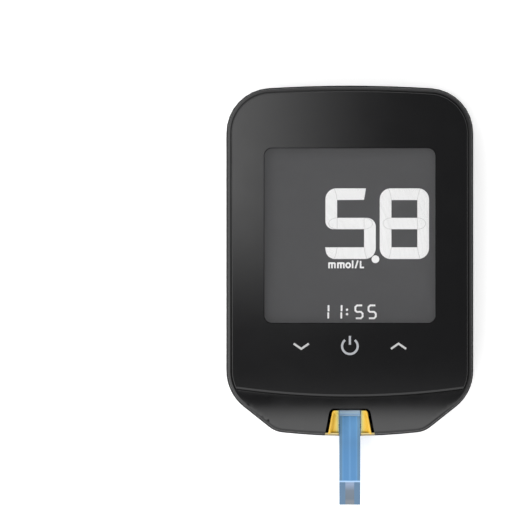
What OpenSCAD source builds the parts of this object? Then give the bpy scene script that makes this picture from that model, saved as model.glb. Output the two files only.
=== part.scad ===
// Handheld blood glucose meter with a coin cell and a test strip in its port.
// It lies on its back: +Z leaves the display, +Y points to the display end, -Y to the strip port.
// The origin is the centre of the back face.

/* [Body] */
// Width across the straight sides
body_w = 58.7; // [56:0.1:64]
// Length from the crown to the base
body_l = 83.3; // [81:0.1:92]
// Thickness from the back to the front panel
body_t = 12.8; // [12.7:0.1:15]
// Radius of the two corners at the display end
top_corner_r = 10.7; // [9:0.1:12]
// Radius of the two corners above the chin
side_corner_r = 10.9; // [9:0.1:12]
// Radius of the two small corners at the base
foot_corner_r = 6; // [5.4:0.1:7]
// Radius of the crowned edge at the display end
crown_r = 310; // [300:5:600]
// Radius of the crowned edge at the base
base_r = 150; // [120:1:200]
// Slope of the two cut corners beside the port, in degrees
foot_slope = 38.4; // [36:0.1:41]
// Width of the base between the cut corners
toe_w = 32.9; // [31.5:0.1:34.5]

/* [Covers] */
// Thickness of the side walls
wall = 1.5; // [1.3:0.1:1.7]
// Thickness of the rear cover's floor
floor_t = 1.4; // [1.2:0.1:1.5]
// Thickness of the front cover's face
face_t = 1.6; // [1.4:0.1:1.7]
// Height of the parting line above the back
parting_z = 7.6; // [7:0.1:8]
// Step inward from the rear cover to the front cover at the parting line
parting_step = 0.35; // [0.25:0.05:0.4]
// Radius of the edge round the back
back_edge_r = 2.4; // [2:0.1:2.6]
// Width of the rounded rim round the front panel
rim_w = 1.15; // [1:0.05:1.3]
// Height of the rear cover's locating lip
lip_h = 0.8; // [0.6:0.1:1]
// Radius of the curve that drops from the face to the base
chin_r = 25; // [23:0.5:32]
// Length of that curve, measured up from the base
chin_curve_l = 11.5; // [10.8:0.1:12]

/* [Front panel] */
// Thickness of the front panel
panel_t = 0.9; // [0.8:0.1:1.1]
// Height of the front panel above the cover's face
panel_proud = 0.4; // [0.3:0.05:0.5]
// Gap between the front panel and the rim
panel_gap = 0.25; // [0.2:0.05:0.3]
// Distance from the base to the middle of the panel's lower edge
chin_l = 9.45; // [8.8:0.05:9.8]
// Radius of the panel's curved lower edge
crease_r = 195; // [170:1:230]
// Width of the bevel along that edge
crease_bevel = 0.45; // [0.3:0.05:0.6]

/* [Display] */
// Width of the window
window_w = 40.9; // [38:0.1:41.5]
// Length of the window
window_l = 41.75; // [40:0.05:42]
// Distance from the crown to the window
window_top = 14.79; // [14:0.01:15]
// Radius of the window's corners
window_corner_r = 1.9; // [1:0.1:3]
// Thickness of each sheet of display glass
glass_t = 0.7; // [0.5:0.05:0.8]
// Width of the glass hidden behind the panel, on each side
glass_margin = 0.8; // [0.5:0.05:0.9]
// Length of the rear glass that carries the tail, beyond the front glass
ledge_l = 2.2; // [1.8:0.1:2.6]
// Height of the display holder between board and glass
holder_h = 2.8; // [2.7:0.1:3.2]
// Height of the large digits
digit_h = 16.8; // [12:0.1:17.5]
// Width of the large digits
digit_w = 12.0; // [9:0.1:12.4]
// Stroke of the large digits
digit_stroke = 2.8; // [1.8:0.1:3]
// Height of the clock digits
clock_h = 3.3; // [2.6:0.1:4]
// Width of the clock digits
clock_w = 2.2; // [1.6:0.1:2.3]
// Stroke of the clock digits
clock_stroke = 0.5; // [0.35:0.05:0.6]

/* [Keys] */
// Width of each key
key_w = 8.8; // [7.5:0.1:9]
// Length of each key
key_l = 6.4; // [5.5:0.1:6.6]
// Distance between neighbouring keys
key_pitch = 11.55; // [11.3:0.05:11.8]
// Distance from the window to the middle of the keys
key_drop = 5.4; // [5.3:0.05:5.8]
// Radius of the keys' corners
key_corner_r = 1; // [0.6:0.1:1.4]
// Travel of a key
key_travel = 0.35; // [0.2:0.05:0.4]

/* [Strip port] */
// Width of the notch at its inner end
notch_w = 9.5; // [9:0.1:10]
// Width of the notch at the base
mouth_w = 12; // [11.5:0.1:13]
// Length of the notch from the base
notch_l = 6.2; // [5.8:0.1:6.6]
// Gap between the port and the inner end of the notch
port_gap = 0.45; // [0.3:0.05:0.6]
// Gap between the port and the sides of the notch
port_side_gap = 0.7; // [0.5:0.05:0.8]
// Height of the port's underside above the back
port_z = 3.2; // [3.2:0.1:3.8]
// Width of the test strip
strip_w = 5; // [4.4:0.1:5.2]
// Thickness of the test strip
strip_t = 0.45; // [0.35:0.05:0.5]
// Length of the test strip
strip_l = 31.8; // [30:0.1:34]
// Length of the test strip that stands out beyond the base
strip_out = 16.35; // [15.8:0.05:17]
// Distance from the test strip up to the main board
strip_rise = 1; // [0.9:0.05:1.1]

/* [Main board] */
// Thickness of the main board
board_t = 0.8; // [0.6:0.1:0.9]
// Gap between the board and the side walls
board_gap = 0.8; // [0.6:0.1:1.1]
// Width of the USB socket
usb_w = 7.5; // [7.2:0.1:7.8]
// Height of the USB socket
usb_h = 2.6; // [2.4:0.1:2.7]
// Length of the USB socket
usb_l = 5.2; // [4.8:0.1:5.4]

/* [Battery] */
// Diameter of the coin cell
cell_d = 20; // [19:0.5:20]
// Thickness of the coin cell
cell_t = 3.2; // [2.5:0.1:3.2]
// Distance from the crown to the middle of the coin cell
cell_top = 19.5; // [19.2:0.1:20]
// Width of the battery door between its rails
door_w = 24.4; // [24:0.1:25]
// Height of the door's end, which closes the end wall
door_end_h = 4.2; // [3.8:0.1:4.4]

/* [Screws] */
// Radius of the case screws' thread
case_screw_r = 0.8; // [0.7:0.05:0.9]
// Radius of the case screws' bosses
boss_r = 2.5; // [2.4:0.1:2.6]
// Radius of the board screws' thread
board_screw_r = 0.6; // [0.5:0.05:0.7]
// Radius of the posts that the board is screwed to
post_r = 1.6; // [1.5:0.1:1.8]

/* [Hidden] */
$fn = 48;

// Fineness of the long shallow arcs
arc_fn = 360;
// Number of flats across each rounded edge
round_steps = 5;
// Number of flats along each arc of a rounded shell
arc_steps = 8;
// Number of flats from the top of a dome to its rim
dome_steps = 6;
// Overlap that joins one shape to the next, and lets a cut pass a face
eps = 0.1;
// Clearance of pieces that stay where they are put
seat_gap = 0.15;
// Clearance of pieces that slide
slide_gap = 0.2;
// Clearance between a thread and its hole
thread_gap = 0.03;
far = 2 * body_l;

// Levels of the front stack, counted down from the front panel
face_z = body_t - panel_proud;
face_under_z = face_z - face_t;
panel_z = body_t - panel_t;
gasket_t = 0.4;
glass_z = panel_z - gasket_t;
segment_t = 0.1;
segment_z = glass_z - glass_t - segment_t;
rear_glass_z = segment_z - glass_t;
reflector_t = 0.2;
holder_z = rear_glass_z - reflector_t;
board_z1 = holder_z - holder_h;
board_z0 = board_z1 - board_t;
// Underside of the strip, which runs below the board
strip_z = board_z0 - strip_rise - strip_t;

// Levels of the battery, counted up from the back
door_t = floor_t - 0.1;
cell_z = floor_t + 0.1;
bay_roof_gap = 0.45;
bay_roof_z = cell_z + cell_t + bay_roof_gap;
bay_roof_t = 0.6;
tab_t = 0.1;

// Places along the length
top_y = body_l / 2;
base_y = -body_l / 2;
window_y1 = top_y - window_top;
window_y0 = window_y1 - window_l;
window_y = (window_y0 + window_y1) / 2;
key_y = window_y0 - key_drop;
notch_y = base_y + notch_l;
cell_y = top_y - cell_top;
// Upper end of the rear glass, with its ledge, and of the holder round it
ledge_y1 = window_y1 + glass_margin + ledge_l;
holder_wall = 0.6;
holder_y1 = ledge_y1 + seat_gap + holder_wall;
// Ends of the battery bay
bay_near = 1.5;
bay_far = 1.6;
bay_end_t = 1.2;
bay_y0 = cell_y - cell_d / 2 - bay_near;
bay_y1 = cell_y + cell_d / 2 + bay_far;
// The board begins behind the port, and the connector under it ends past the strip
port_back_l = 2.2;
board_y0 = notch_y + port_back_l;
strip_end_y = base_y - strip_out + strip_l;
stop_gap = 0.3;
stop_t = 1.25;
connector_y0 = board_y0 + 0.1;
connector_y1 = strip_end_y + stop_gap + stop_t;
crease_c = [0, base_y + chin_l + crease_r];
chin_c = [base_y + chin_curve_l, face_z - chin_r];
half_w = body_w / 2;

// Corners of the outline on the right side, as circles that touch their neighbours
crown_c = [0, top_y - crown_r];
base_c = [0, base_y + base_r];
top_c = [half_w - top_corner_r,
         crown_c.y + sqrt((crown_r - top_corner_r) ^ 2 - (half_w - top_corner_r) ^ 2)];
toe = [toe_w / 2, base_y];
foot_normal = [sin(foot_slope), -cos(foot_slope)];
foot_along = [cos(foot_slope), sin(foot_slope)];
side_x = half_w - side_corner_r;
side_c = [side_x, (toe * foot_normal - side_corner_r - side_x * foot_normal.x) / foot_normal.y];
foot_start = toe - foot_corner_r * foot_normal - base_c;
foot_reach = -foot_start * foot_along
    - sqrt((foot_start * foot_along) ^ 2 - foot_start * foot_start + (base_r - foot_corner_r) ^ 2);
foot_c = toe - foot_corner_r * foot_normal + foot_reach * foot_along;
crown_a = asin(top_c.x / (crown_r - top_corner_r));
base_a = asin(foot_c.x / (base_r - foot_corner_r));

// Each arc: centre, radius, first angle, last angle
right_arcs = [[foot_c, foot_corner_r, base_a - 90, foot_slope - 90],
              [side_c, side_corner_r, foot_slope - 90, 0],
              [top_c, top_corner_r, 0, 90 - crown_a]];
left_arcs = [for (i = [2:-1:0]) let (arc = right_arcs[i])
    [[-arc[0].x, arc[0].y], arc[1], 180 - arc[3], 180 - arc[2]]];
crown_arc = [crown_c, crown_r, 90 - crown_a, 90 + crown_a];
base_arc = [base_c, base_r, -90 - base_a, -90 + base_a];
all_arcs = concat(right_arcs, [crown_arc], left_arcs, [base_arc]);

// Point at an angle of an arc, moved inward from the outline
function on_arc(arc, angle, inset) = arc[0] + (arc[1] - inset) * [cos(angle), sin(angle)];

// Flat outline of the body, moved inward by inset
module outline(inset = 0) {
    right = [for (arc = right_arcs) for (angle = [arc[2], arc[3]]) on_arc(arc, angle, inset)];
    left = [for (i = [len(right) - 1:-1:0]) [-right[i].x, right[i].y]];
    polygon(concat(right, left));
    for (arc = concat(right_arcs, left_arcs))
        translate(arc[0]) circle(arc[1] - inset);
    cap(crown_arc, inset, 1);
    cap(base_arc, inset, -1);
}

// Shallow cap between an end arc and its chord
module cap(arc, inset, side) {
    corner = on_arc(arc, arc[3], inset);
    intersection() {
        translate(arc[0]) circle(arc[1] - inset, $fn = arc_fn * 2);
        translate([0, corner.y + side * arc[1] / 2]) square([abs(corner.x) * 2, arc[1]], center = true);
    }
}

// Points round the outline, moved inward by inset, for the shells that hull() rounds
function outline_points(inset) =
    [for (arc = all_arcs) for (i = [0:arc_steps])
        on_arc(arc, arc[2] + (arc[3] - arc[2]) * i / arc_steps, inset)];

// Slab of the outline with its lower edge rounded by r0 and its upper edge by r1
module slab(inset, z0, z1, r0, r1) {
    hull() {
        for (angle = [0:90 / round_steps:90]) {
            translate([0, 0, z0 + r0 * (1 - cos(angle))])
                linear_extrude(z1 - z0 - r1 - r0 * (1 - cos(angle)))
                    polygon(outline_points(inset + r0 * (1 - sin(angle))));
            translate([0, 0, z0 + r0])
                linear_extrude(z1 - z0 - r0 - r1 * (1 - cos(angle)))
                    polygon(outline_points(inset + r1 * (1 - sin(angle))));
        }
    }
}

// Outside of the front cover: its edge is rounded by r along the face and down the chin
module front_slab(inset, r) {
    hull() {
        for (angle = [0:90 / round_steps:90]) {
            intersection() {
                translate([0, 0, parting_z])
                    linear_extrude(face_z) polygon(outline_points(inset + r * (1 - cos(angle))));
                under_face(r * (1 - sin(angle)));
            }
        }
    }
}

// Everything below the front face and its chin, or below a parallel of them
module under_face(depth) {
    rotate([90, 0, 90]) linear_extrude(body_w + 2, center = true) {
        translate([chin_c.x, 0]) square([far, face_z - depth]);
        intersection() {
            translate(chin_c) circle(chin_r - depth, $fn = arc_fn);
            translate([chin_c.x - far + eps, -eps]) square(far);
        }
    }
}

// Box between two corners
module block(low, high) {
    translate(low) cube(high - low);
}

// Flat rectangle with round corners, centred
module round_rect(w, l, r) {
    square([w - 2 * r, l], center = true);
    square([w, l - 2 * r], center = true);
    for (x = [-1, 1], y = [-1, 1])
        translate([x * (w / 2 - r), y * (l / 2 - r)]) circle(r);
}

// Angle of the notch's sides, and the radius of its inner corners
flare = atan2((mouth_w - notch_w) / 2, notch_l);
notch_r = 1.3;
// How far the notch is drawn past the base
past = 2;

// Flat notch that flares towards the base, drawn in by gap at its inner end and by side_gap at its sides
module flared(gap, side_gap) {
    r = notch_r;
    end_y = notch_y - gap;
    side_x = notch_w / 2 - side_gap / cos(flare) + gap * tan(flare);
    corner = [side_x + r * tan(flare) - r / cos(flare), end_y - r];
    edge = corner + r * [cos(flare), sin(flare)];
    mouth = [edge.x + (edge.y - base_y + past) * tan(flare), base_y - past];
    polygon([mouth, edge, [corner.x, end_y], [-corner.x, end_y], [-edge.x, edge.y], [-mouth.x, mouth.y]]);
    for (x = [-1, 1]) translate([x * corner.x, corner.y]) circle(r);
}

// ---- Front cover ----

// Height at which the bosses of both covers meet
boss_meet_z = 5;
display_l = window_l + 2 * glass_margin;
display_w = window_w + 2 * glass_margin;

// Copies its children to both sides at each place of a list
module mirrored_at(places) {
    for (place = places, side = [-1, 1]) translate([side * place.x, place.y, 0]) children();
}

module key_places() {
    for (i = [-1:1]) translate([i * key_pitch, key_y, 0]) children();
}

// Space of the front panel, grown by gap
module panel_space(gap, z0) {
    intersection() {
        translate([0, 0, z0]) linear_extrude(body_t) outline(rim_w + panel_gap - gap);
        translate(crease_c) cylinder(r = crease_r + gap, h = far, $fn = arc_fn * 2);
    }
}

usb_z = board_z1;
usb_slot_gap = 0.35;
usb_slot_r = 0.8;

module usb_opening() {
    translate([0, top_y, usb_z + usb_h / 2])
        rotate([90, 0, 0])
            linear_extrude(3 * wall, center = true)
                round_rect(usb_w + 2 * usb_slot_gap, usb_h + 2 * usb_slot_gap, usb_slot_r);
}

// Solid face left over the end of a screw's hole, and over the end of the screw
hole_stop = 0.5;
screw_stop = 1;
// Flat land between the rounded rim and the pocket of the front panel
rim_land = 0.1;
opening_r = 0.6;
// Room past the ledge for the tail that bends down there
tail_room = 1;

module front_cover() {
    color("#1c1c1e")
    difference() {
        union() {
            difference() {
                front_slab(parting_step, rim_w - rim_land - parting_step);
                intersection() {
                    linear_extrude(body_t) outline(wall);
                    under_face(face_t);
                }
                linear_extrude(parting_z + lip_h + slide_gap) outline(wall / 2);
            }
            mirrored_at(case_screw_xy)
                translate([0, 0, boss_meet_z]) cylinder(r = boss_r, h = face_under_z + eps - boss_meet_z);
            mirrored_at(board_screw_xy)
                translate([0, 0, board_z1]) cylinder(r = post_r, h = face_under_z + eps - board_z1);
        }
        panel_space(panel_gap, panel_z);
        translate([0, window_y, 0])
            linear_extrude(body_t) round_rect(display_w + 2 * seat_gap, display_l + 2 * seat_gap, opening_r);
        key_places() linear_extrude(body_t)
            round_rect(key_w + 2 * seat_gap, key_l + 2 * seat_gap, key_corner_r);
        linear_extrude(body_t) flared(0, 0);
        // Recess over the rear glass's ledge and the tail on it
        block([-display_w / 2 - seat_gap, window_y1, face_under_z - eps],
              [display_w / 2 + seat_gap, ledge_y1 + tail_room, segment_z + tail_t + seat_gap]);
        usb_opening();
        mirrored_at(case_screw_xy) screw_hole(case_screw_r);
        mirrored_at(board_screw_xy) screw_hole(board_screw_r);
    }
}

// Threaded hole that stops short of the front cover's face
module screw_hole(r) {
    cylinder(r = r + thread_gap, h = face_under_z - hole_stop);
}

// ---- Front panel and window ----

module front_panel() {
    color("#202124")
    difference() {
        intersection() {
            panel_space(0, panel_z);
            union() {
                translate(crease_c) cylinder(r = crease_r, h = face_z, $fn = arc_fn * 2);
                translate([crease_c.x, crease_c.y, face_z])
                    cylinder(r1 = crease_r, r2 = crease_r - crease_bevel, h = panel_proud, $fn = arc_fn * 2);
            }
        }
        translate([0, window_y, 0]) linear_extrude(far) round_rect(window_w, window_l, window_corner_r);
        key_places() linear_extrude(far)
            round_rect(key_w + 2 * seat_gap, key_l + 2 * seat_gap, key_corner_r);
    }
}

// Gap round the window in the front panel
window_gap = 0.05;

module display_window() {
    color("#55565a")
    translate([0, window_y, panel_z])
        linear_extrude(panel_t)
            round_rect(window_w - 2 * window_gap, window_l - 2 * window_gap, window_corner_r - window_gap);
}

// ---- Display ----

gasket_w = 0.95;
gasket_r = 1.8;

module display_gasket() {
    color("#111111")
    translate([0, window_y, glass_z])
        linear_extrude(gasket_t) difference() {
            square([display_w, display_l], center = true);
            round_rect(display_w - 2 * gasket_w, display_l - 2 * gasket_w, gasket_r);
        }
}

module display_front_glass() {
    color("#6a6b6e")
    translate([-display_w / 2, window_y0 - glass_margin, glass_z - glass_t])
        cube([display_w, display_l, glass_t]);
}

module display_rear_glass() {
    color("#8f9092")
    translate([-display_w / 2, window_y0 - glass_margin, rear_glass_z])
        cube([display_w, display_l + ledge_l, glass_t]);
}

module display_reflector() {
    color("#c9cacc")
    translate([-display_w / 2, window_y0 - glass_margin, holder_z])
        cube([display_w, display_l, reflector_t]);
}

// One digit of seven segments, lower left corner at the origin; lit tells which segments it shows:
// top, upper left, upper right, middle, lower left, lower right, bottom
module digit(w, h, s, lit) {
    half = (h - s) / 2;
    if (lit[0]) translate([0, h - s]) square([w, s]);
    if (lit[1]) translate([0, half]) square([s, half + s]);
    if (lit[2]) translate([w - s, half]) square([s, half + s]);
    if (lit[3]) translate([0, half]) square([w, s]);
    if (lit[4]) square([s, half + s]);
    if (lit[5]) translate([w - s, 0]) square([s, half + s]);
    if (lit[6]) square([w, s]);
}

five = [true, true, false, true, false, true, true];
eight = [true, true, true, true, true, true, true];
one = [false, false, true, false, false, true, false];
// Gap between the large digits, their height above the window's lower edge, and its middle's place
digit_gap = 0.65;
digit_rise = 15.3;
digit_mid_x = 6.6;
// Place, spacing and colon of the clock
clock_rise = 1;
clock_x = -5.9;
clock_pitch = 3.15;
colon_l = 1.3;
digit_y = window_y0 + digit_rise;
clock_y = window_y0 + clock_rise;

module display_segments() {
    color("white")
    translate([0, 0, segment_z]) linear_extrude(segment_t) {
        translate([digit_mid_x - digit_gap / 2 - digit_w, digit_y])
            digit(digit_w, digit_h, digit_stroke, five);
        translate([digit_mid_x + digit_gap / 2, digit_y])
            digit(digit_w, digit_h, digit_stroke, eight);
        for (i = [0, 1])
            translate([clock_x - clock_w + clock_stroke + i * clock_pitch, clock_y])
                digit(clock_w, clock_h, clock_stroke, one);
        for (y = [0.3, 0.7])
            translate([clock_x + clock_pitch + colon_l, clock_y + y * clock_h])
                square(clock_stroke, center = true);
        for (i = [0, 1])
            translate([clock_x + clock_pitch + 2 * colon_l + i * clock_pitch, clock_y])
                digit(clock_w, clock_h, clock_stroke, five);
    }
}

// Thickness of the holder's tray under the glass, and its gap to the front cover
tray_t = 0.6;
holder_gap = 0.05;

module display_holder() {
    low = [-display_w / 2 - seat_gap, window_y0 - glass_margin - seat_gap];
    high = [display_w / 2 + seat_gap, ledge_y1 + seat_gap];
    color("#e4e4e0")
    difference() {
        block([low.x - holder_wall, low.y - holder_wall, board_z1],
              [high.x + holder_wall, high.y + holder_wall, face_under_z - holder_gap]);
        // Tray of the glass
        block([low.x, low.y, holder_z], [high.x, high.y, body_t]);
        // Hollow over the board, divided by two ribs
        for (i = [-1:1])
            translate([i * (high.x - low.x) / 3, (low.y + high.y) / 2, board_z1 - eps])
                linear_extrude(holder_h - tray_t + eps)
                    square([(high.x - low.x) / 3 - holder_wall, high.y - low.y - holder_wall],
                           center = true);
        // Way out of the tail
        block([-tail_w / 2 - seat_gap, high.y - eps, holder_z],
              [tail_w / 2 + seat_gap, high.y + 2 * holder_wall, body_t]);
    }
}

// Flexible tail: its end on the glass, its two bends and its end in the socket
tail_w = 12;
tail_t = 0.12;
tail_lap = 1.5;
tail_lead = 0.4;
tail_set = 0.1;
tail_in = 1.2;
socket_l = 3;
socket_h = 1.6;
socket_side = 1.2;
socket_lead = 1.9;
socket_y = ledge_y1 + socket_lead;
socket_deep = 1.4;
slot_gap = 0.05;
tail_end_z = board_z1 + socket_h / 2;

module display_tail() {
    bend_y = ledge_y1 + tail_lead;
    color("#a8702c")
    rotate([90, 0, 90]) linear_extrude(tail_w, center = true)
        polygon([[ledge_y1 - tail_lap, segment_z], [bend_y, segment_z], [socket_y - tail_lead, tail_end_z],
                 [socket_y + tail_in, tail_end_z], [socket_y + tail_in, tail_end_z + tail_t],
                 [socket_y - tail_lead + tail_set, tail_end_z + tail_t],
                 [bend_y + tail_set, segment_z + tail_t], [ledge_y1 - tail_lap, segment_z + tail_t]]);
}

module display_socket() {
    half = tail_w / 2;
    color("#d8d2bd")
    difference() {
        block([-half - socket_side, socket_y, board_z1],
              [half + socket_side, socket_y + socket_l, board_z1 + socket_h]);
        block([-half - slot_gap, socket_y - eps, tail_end_z - slot_gap],
              [half + slot_gap, socket_y + socket_deep, tail_end_z + tail_t + slot_gap]);
    }
}

// ---- Keys and their domes ----

// The dome is a little taller than the travel that flattens it
dome_h = key_travel + 0.1;
dome_r = 2;
dome_t = 0.1;
// Flange that keeps a key from falling out, and the plunger above its dome
key_flange_t = 0.4;
key_flange_w = 0.5;
key_flange_gap = 0.1;
plunger_r = 1.1;
plunger_gap = 0.05;

module key() {
    flange_z = face_under_z - key_flange_gap - key_flange_t;
    plunger_z = board_z1 + dome_h + plunger_gap;
    translate([0, 0, flange_z]) linear_extrude(body_t - flange_z) round_rect(key_w, key_l, key_corner_r);
    translate([0, 0, flange_z]) linear_extrude(key_flange_t)
        round_rect(key_w + 2 * key_flange_w, key_l + 2 * key_flange_w, key_corner_r);
    translate([0, 0, plunger_z]) cylinder(r = plunger_r, h = flange_z + eps - plunger_z);
}

module key_down() {
    color("#202124") translate([-key_pitch, key_y, 0]) key();
}

module key_select() {
    color("#202124") translate([0, key_y, 0]) key();
}

module key_up() {
    color("#202124") translate([key_pitch, key_y, 0]) key();
}

// Points of a round cap's profile, from its top to its rim
function cap_profile(r, h) =
    let (ball_r = (r ^ 2 + h ^ 2) / (2 * h), rim_a = asin(r / ball_r))
    [for (i = [0:dome_steps]) let (angle = i * rim_a / dome_steps)
        [ball_r * sin(angle), h - ball_r + ball_r * cos(angle)]];

// Thin metal cap that snaps through when pressed
module dome() {
    outer = cap_profile(dome_r, dome_h);
    inner = cap_profile(dome_r - 2 * dome_t, dome_h - dome_t);
    translate([0, key_y, board_z1]) rotate_extrude()
        polygon(concat(outer, [for (i = [dome_steps:-1:0]) inner[i]]));
}

module dome_down() {
    color("#c8cad0") translate([-key_pitch, 0, 0]) dome();
}

module dome_select() {
    color("#c8cad0") dome();
}

module dome_up() {
    color("#c8cad0") translate([key_pitch, 0, 0]) dome();
}

// ---- Main board ----

// Screws on the right side: a case screw stands clear of the holder at the display end and of the keys
// at the other, a board screw clear of the battery bay and of the outer key
case_screw_side = 7.75;
case_screw_base = 14;
boss_gap = 0.39;
case_screw_xy = [[half_w - case_screw_side, holder_y1 + boss_r + boss_gap],
                 [half_w - case_screw_side, base_y + case_screw_base]];
board_head_r = 1.3;
board_head_h = 0.7;
post_gap = 0.3;
post_key_gap = 0.45;
post_bay_gap = 0.8;
post_socket_gap = 1.2;
board_screw_xy = [[tail_w / 2 + socket_side + post_r + post_socket_gap,
                   bay_y1 + bay_end_t + board_head_r + post_bay_gap],
                  [key_pitch + key_w / 2 + key_flange_w + post_r + post_key_gap,
                   base_y + case_screw_base - boss_r - post_r - post_gap]];

// Clearance of the board's cutouts round the bosses and of its screw holes
boss_cut_gap = 0.3;
screw_cut_gap = 0.1;

module main_board() {
    color("#1f6b3a")
    translate([0, 0, board_z0]) linear_extrude(board_t) difference() {
        intersection() {
            outline(wall + board_gap);
            translate([-body_w / 2, board_y0]) square([body_w, body_l]);
        }
        mirrored_at(case_screw_xy) circle(boss_r + boss_cut_gap);
        mirrored_at(board_screw_xy) circle(board_screw_r + screw_cut_gap);
    }
}

// Leads of the chips
lead_w = 0.25;
lead_l = 0.6;
// Chips under the board, past the strip's connector; each: place across, place along, width, length,
// height, leads on each side
chip_gap = 4.11;
chip_y = connector_y1 + chip_gap;
processor = [9, 14.5, 7, 7, 0.9, 10];
chips = [[-10, 15, 4, 5, 0.9, 4], [-1, 4.5, 5, 5, 0.85, 6], [-13, 4, 3, 3, 0.8, 0],
         [16.5, 14.5, 1.5, 3.2, 0.7, 0]];
// Two rows of small parts: place of the first row, distance between rows and parts, size
passive_rise = 8.6;
passive_rows = 10.4;
passive_pitch = 2.4;
passive_size = [0.8, 1.6, 0.6];

// Flat package under the board, with a row of leads on two sides
module chip(data) {
    w = data[2];
    l = data[3];
    h = data[4];
    leads = data[5];
    translate([data[0], chip_y + data[1], board_z0]) {
        translate([-w / 2, -l / 2, -h]) cube([w, l, h]);
        if (leads > 0)
            for (i = [0:leads - 1], side = [-1, 1])
                translate([side * (w / 2 + lead_l / 2 - eps), (i - (leads - 1) / 2) * l / leads, -h / 4])
                    cube([lead_l + eps, lead_w, h / 2], center = true);
    }
}

module microcontroller() {
    color("#26262a") chip(processor);
}

module board_chips() {
    color("#2b2b30") for (data = chips) chip(data);
}

module board_passives() {
    color("#a89a83")
    for (i = [-4:4], row = [0, 1])
        translate([i * passive_pitch - passive_size.x / 2, chip_y + passive_rise - passive_rows * row,
                   board_z0 - passive_size.z])
            cube(passive_size);
}

// Pan-head screw that points up, with a cross recess in its head
module screw(r, head_r, head_h, reach) {
    slot = [head_r * 1.2, head_r * 0.3];
    difference() {
        union() {
            translate([0, 0, -head_h]) cylinder(r = head_r, h = head_h);
            translate([0, 0, -eps]) cylinder(r = r, h = reach + eps);
        }
        for (turn = [0, 90]) rotate(turn)
            translate([-slot.x / 2, -slot.y / 2, -head_h - eps]) cube([slot.x, slot.y, head_h / 2 + eps]);
    }
}

module board_screws() {
    color("#b9bcc2")
    mirrored_at(board_screw_xy)
        translate([0, 0, board_z0])
            screw(board_screw_r, board_head_r, board_head_h, face_under_z - screw_stop - board_z0);
}

screw_seat_z = 1.8;
case_head_r = 1.6;
case_head_h = 1.1;

module case_screws() {
    color("#8d9096")
    mirrored_at(case_screw_xy)
        translate([0, 0, screw_seat_z])
            screw(case_screw_r, case_head_r, case_head_h, face_under_z - screw_stop - screw_seat_z);
}

// ---- USB socket ----

usb_wall = 0.25;
usb_set = 0.55;
usb_front_y = top_y - usb_set;
tongue_w = 3.9;
tongue_l = 3.4;
tongue_t = 0.6;
stem_l = 0.9;

module usb_shell() {
    color("#c4c7cc")
    translate([0, usb_front_y, usb_z]) difference() {
        translate([-usb_w / 2, -usb_l, 0]) cube([usb_w, usb_l, usb_h]);
        translate([-usb_w / 2 + usb_wall, -usb_l + usb_wall, usb_wall])
            cube([usb_w - 2 * usb_wall, usb_l, usb_h - 2 * usb_wall]);
    }
}

module usb_tongue() {
    color("#1a1a1c")
    translate([0, usb_front_y - usb_l + usb_wall, usb_z + usb_wall]) {
        translate([-usb_w / 2 + usb_wall, 0, 0]) cube([usb_w - 2 * usb_wall, stem_l, usb_h - 2 * usb_wall]);
        translate([-tongue_w / 2, stem_l - eps, usb_h / 2 - usb_wall])
            cube([tongue_w, tongue_l + eps, tongue_t]);
    }
}

// ---- Strip port, connector and test strip ----

strip_side_gap = 0.15;
strip_face_gap = 0.1;
channel = strip_w / 2 + strip_side_gap;
strip_top_z = strip_z + strip_t;
connector_w = 11;
connector_h = 2.5;
// Port: its depth under the face, its rim, the recess inside the rim, and its flange behind the end wall
port_below_face = 0.3;
port_rim = 0.45;
port_recess = 1;
port_lap = 1.5;
port_flange_w = 14.6;
port_flange_t = 1;
port_flange_gap = 0.35;

module strip_port() {
    flange_y = base_y + wall + port_flange_gap;
    back_w = notch_w - 2 * port_side_gap;
    color("#f0c232")
    difference() {
        union() {
            intersection() {
                translate([0, 0, port_z]) linear_extrude(body_t) flared(port_gap, port_side_gap);
                linear_extrude(body_t) outline(0);
                under_face(port_below_face);
            }
            // Neck that reaches the connector under the board
            block([-back_w / 2, notch_y - port_lap, port_z],
                  [back_w / 2, connector_y0, board_z0 - slide_gap]);
            block([-port_flange_w / 2, flange_y, floor_t],
                  [port_flange_w / 2, flange_y + port_flange_t, parting_z - slide_gap]);
        }
        // Recess inside the rim, equally deep under the chin all along
        difference() {
            linear_extrude(far) flared(port_gap + port_rim, port_side_gap + port_rim);
            under_face(port_below_face + port_recess);
        }
        // Channel of the strip: open above along the notch, closed behind it
        block([-channel, base_y - past, strip_z - strip_face_gap], [channel, notch_y + slide_gap, far]);
        block([-channel, base_y, strip_z - strip_face_gap], [channel, far, strip_top_z + strip_face_gap]);
    }
}

// Leaves of the contacts: room above the strip, and their size and spacing
contact_room = 0.3;
leaf_gap = 0.05;
leaf_w = 0.45;
leaf_t = 0.15;
leaf_pitch = 0.85;
leaf_foot = 1;
leaf_back_gap = 0.15;
leaf_front = 3.5;

module strip_connector() {
    stop_y = strip_end_y + stop_gap;
    color("#2a2a2e")
    difference() {
        block([-connector_w / 2, connector_y0, board_z0 - connector_h],
              [connector_w / 2, connector_y1, board_z0]);
        block([-channel, connector_y0 - eps, strip_z - strip_face_gap],
              [channel, stop_y, strip_top_z + contact_room]);
        block([-channel, stop_y - eps, strip_top_z + leaf_gap / 2],
              [channel, far, strip_top_z + contact_room]);
    }
}

module strip_contacts() {
    back_y = connector_y1 + leaf_back_gap;
    leaf_z = strip_top_z + leaf_gap;
    color("#d9b45a")
    for (i = [-2:2]) translate([i * leaf_pitch - leaf_w / 2, 0, 0]) {
        block([0, connector_y0 + leaf_front, leaf_z], [leaf_w, back_y + leaf_t, leaf_z + leaf_t]);
        block([0, back_y, leaf_z], [leaf_w, back_y + leaf_t, board_z0]);
        block([0, back_y, board_z0 - leaf_t], [leaf_w, back_y + leaf_foot, board_z0]);
    }
}

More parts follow.
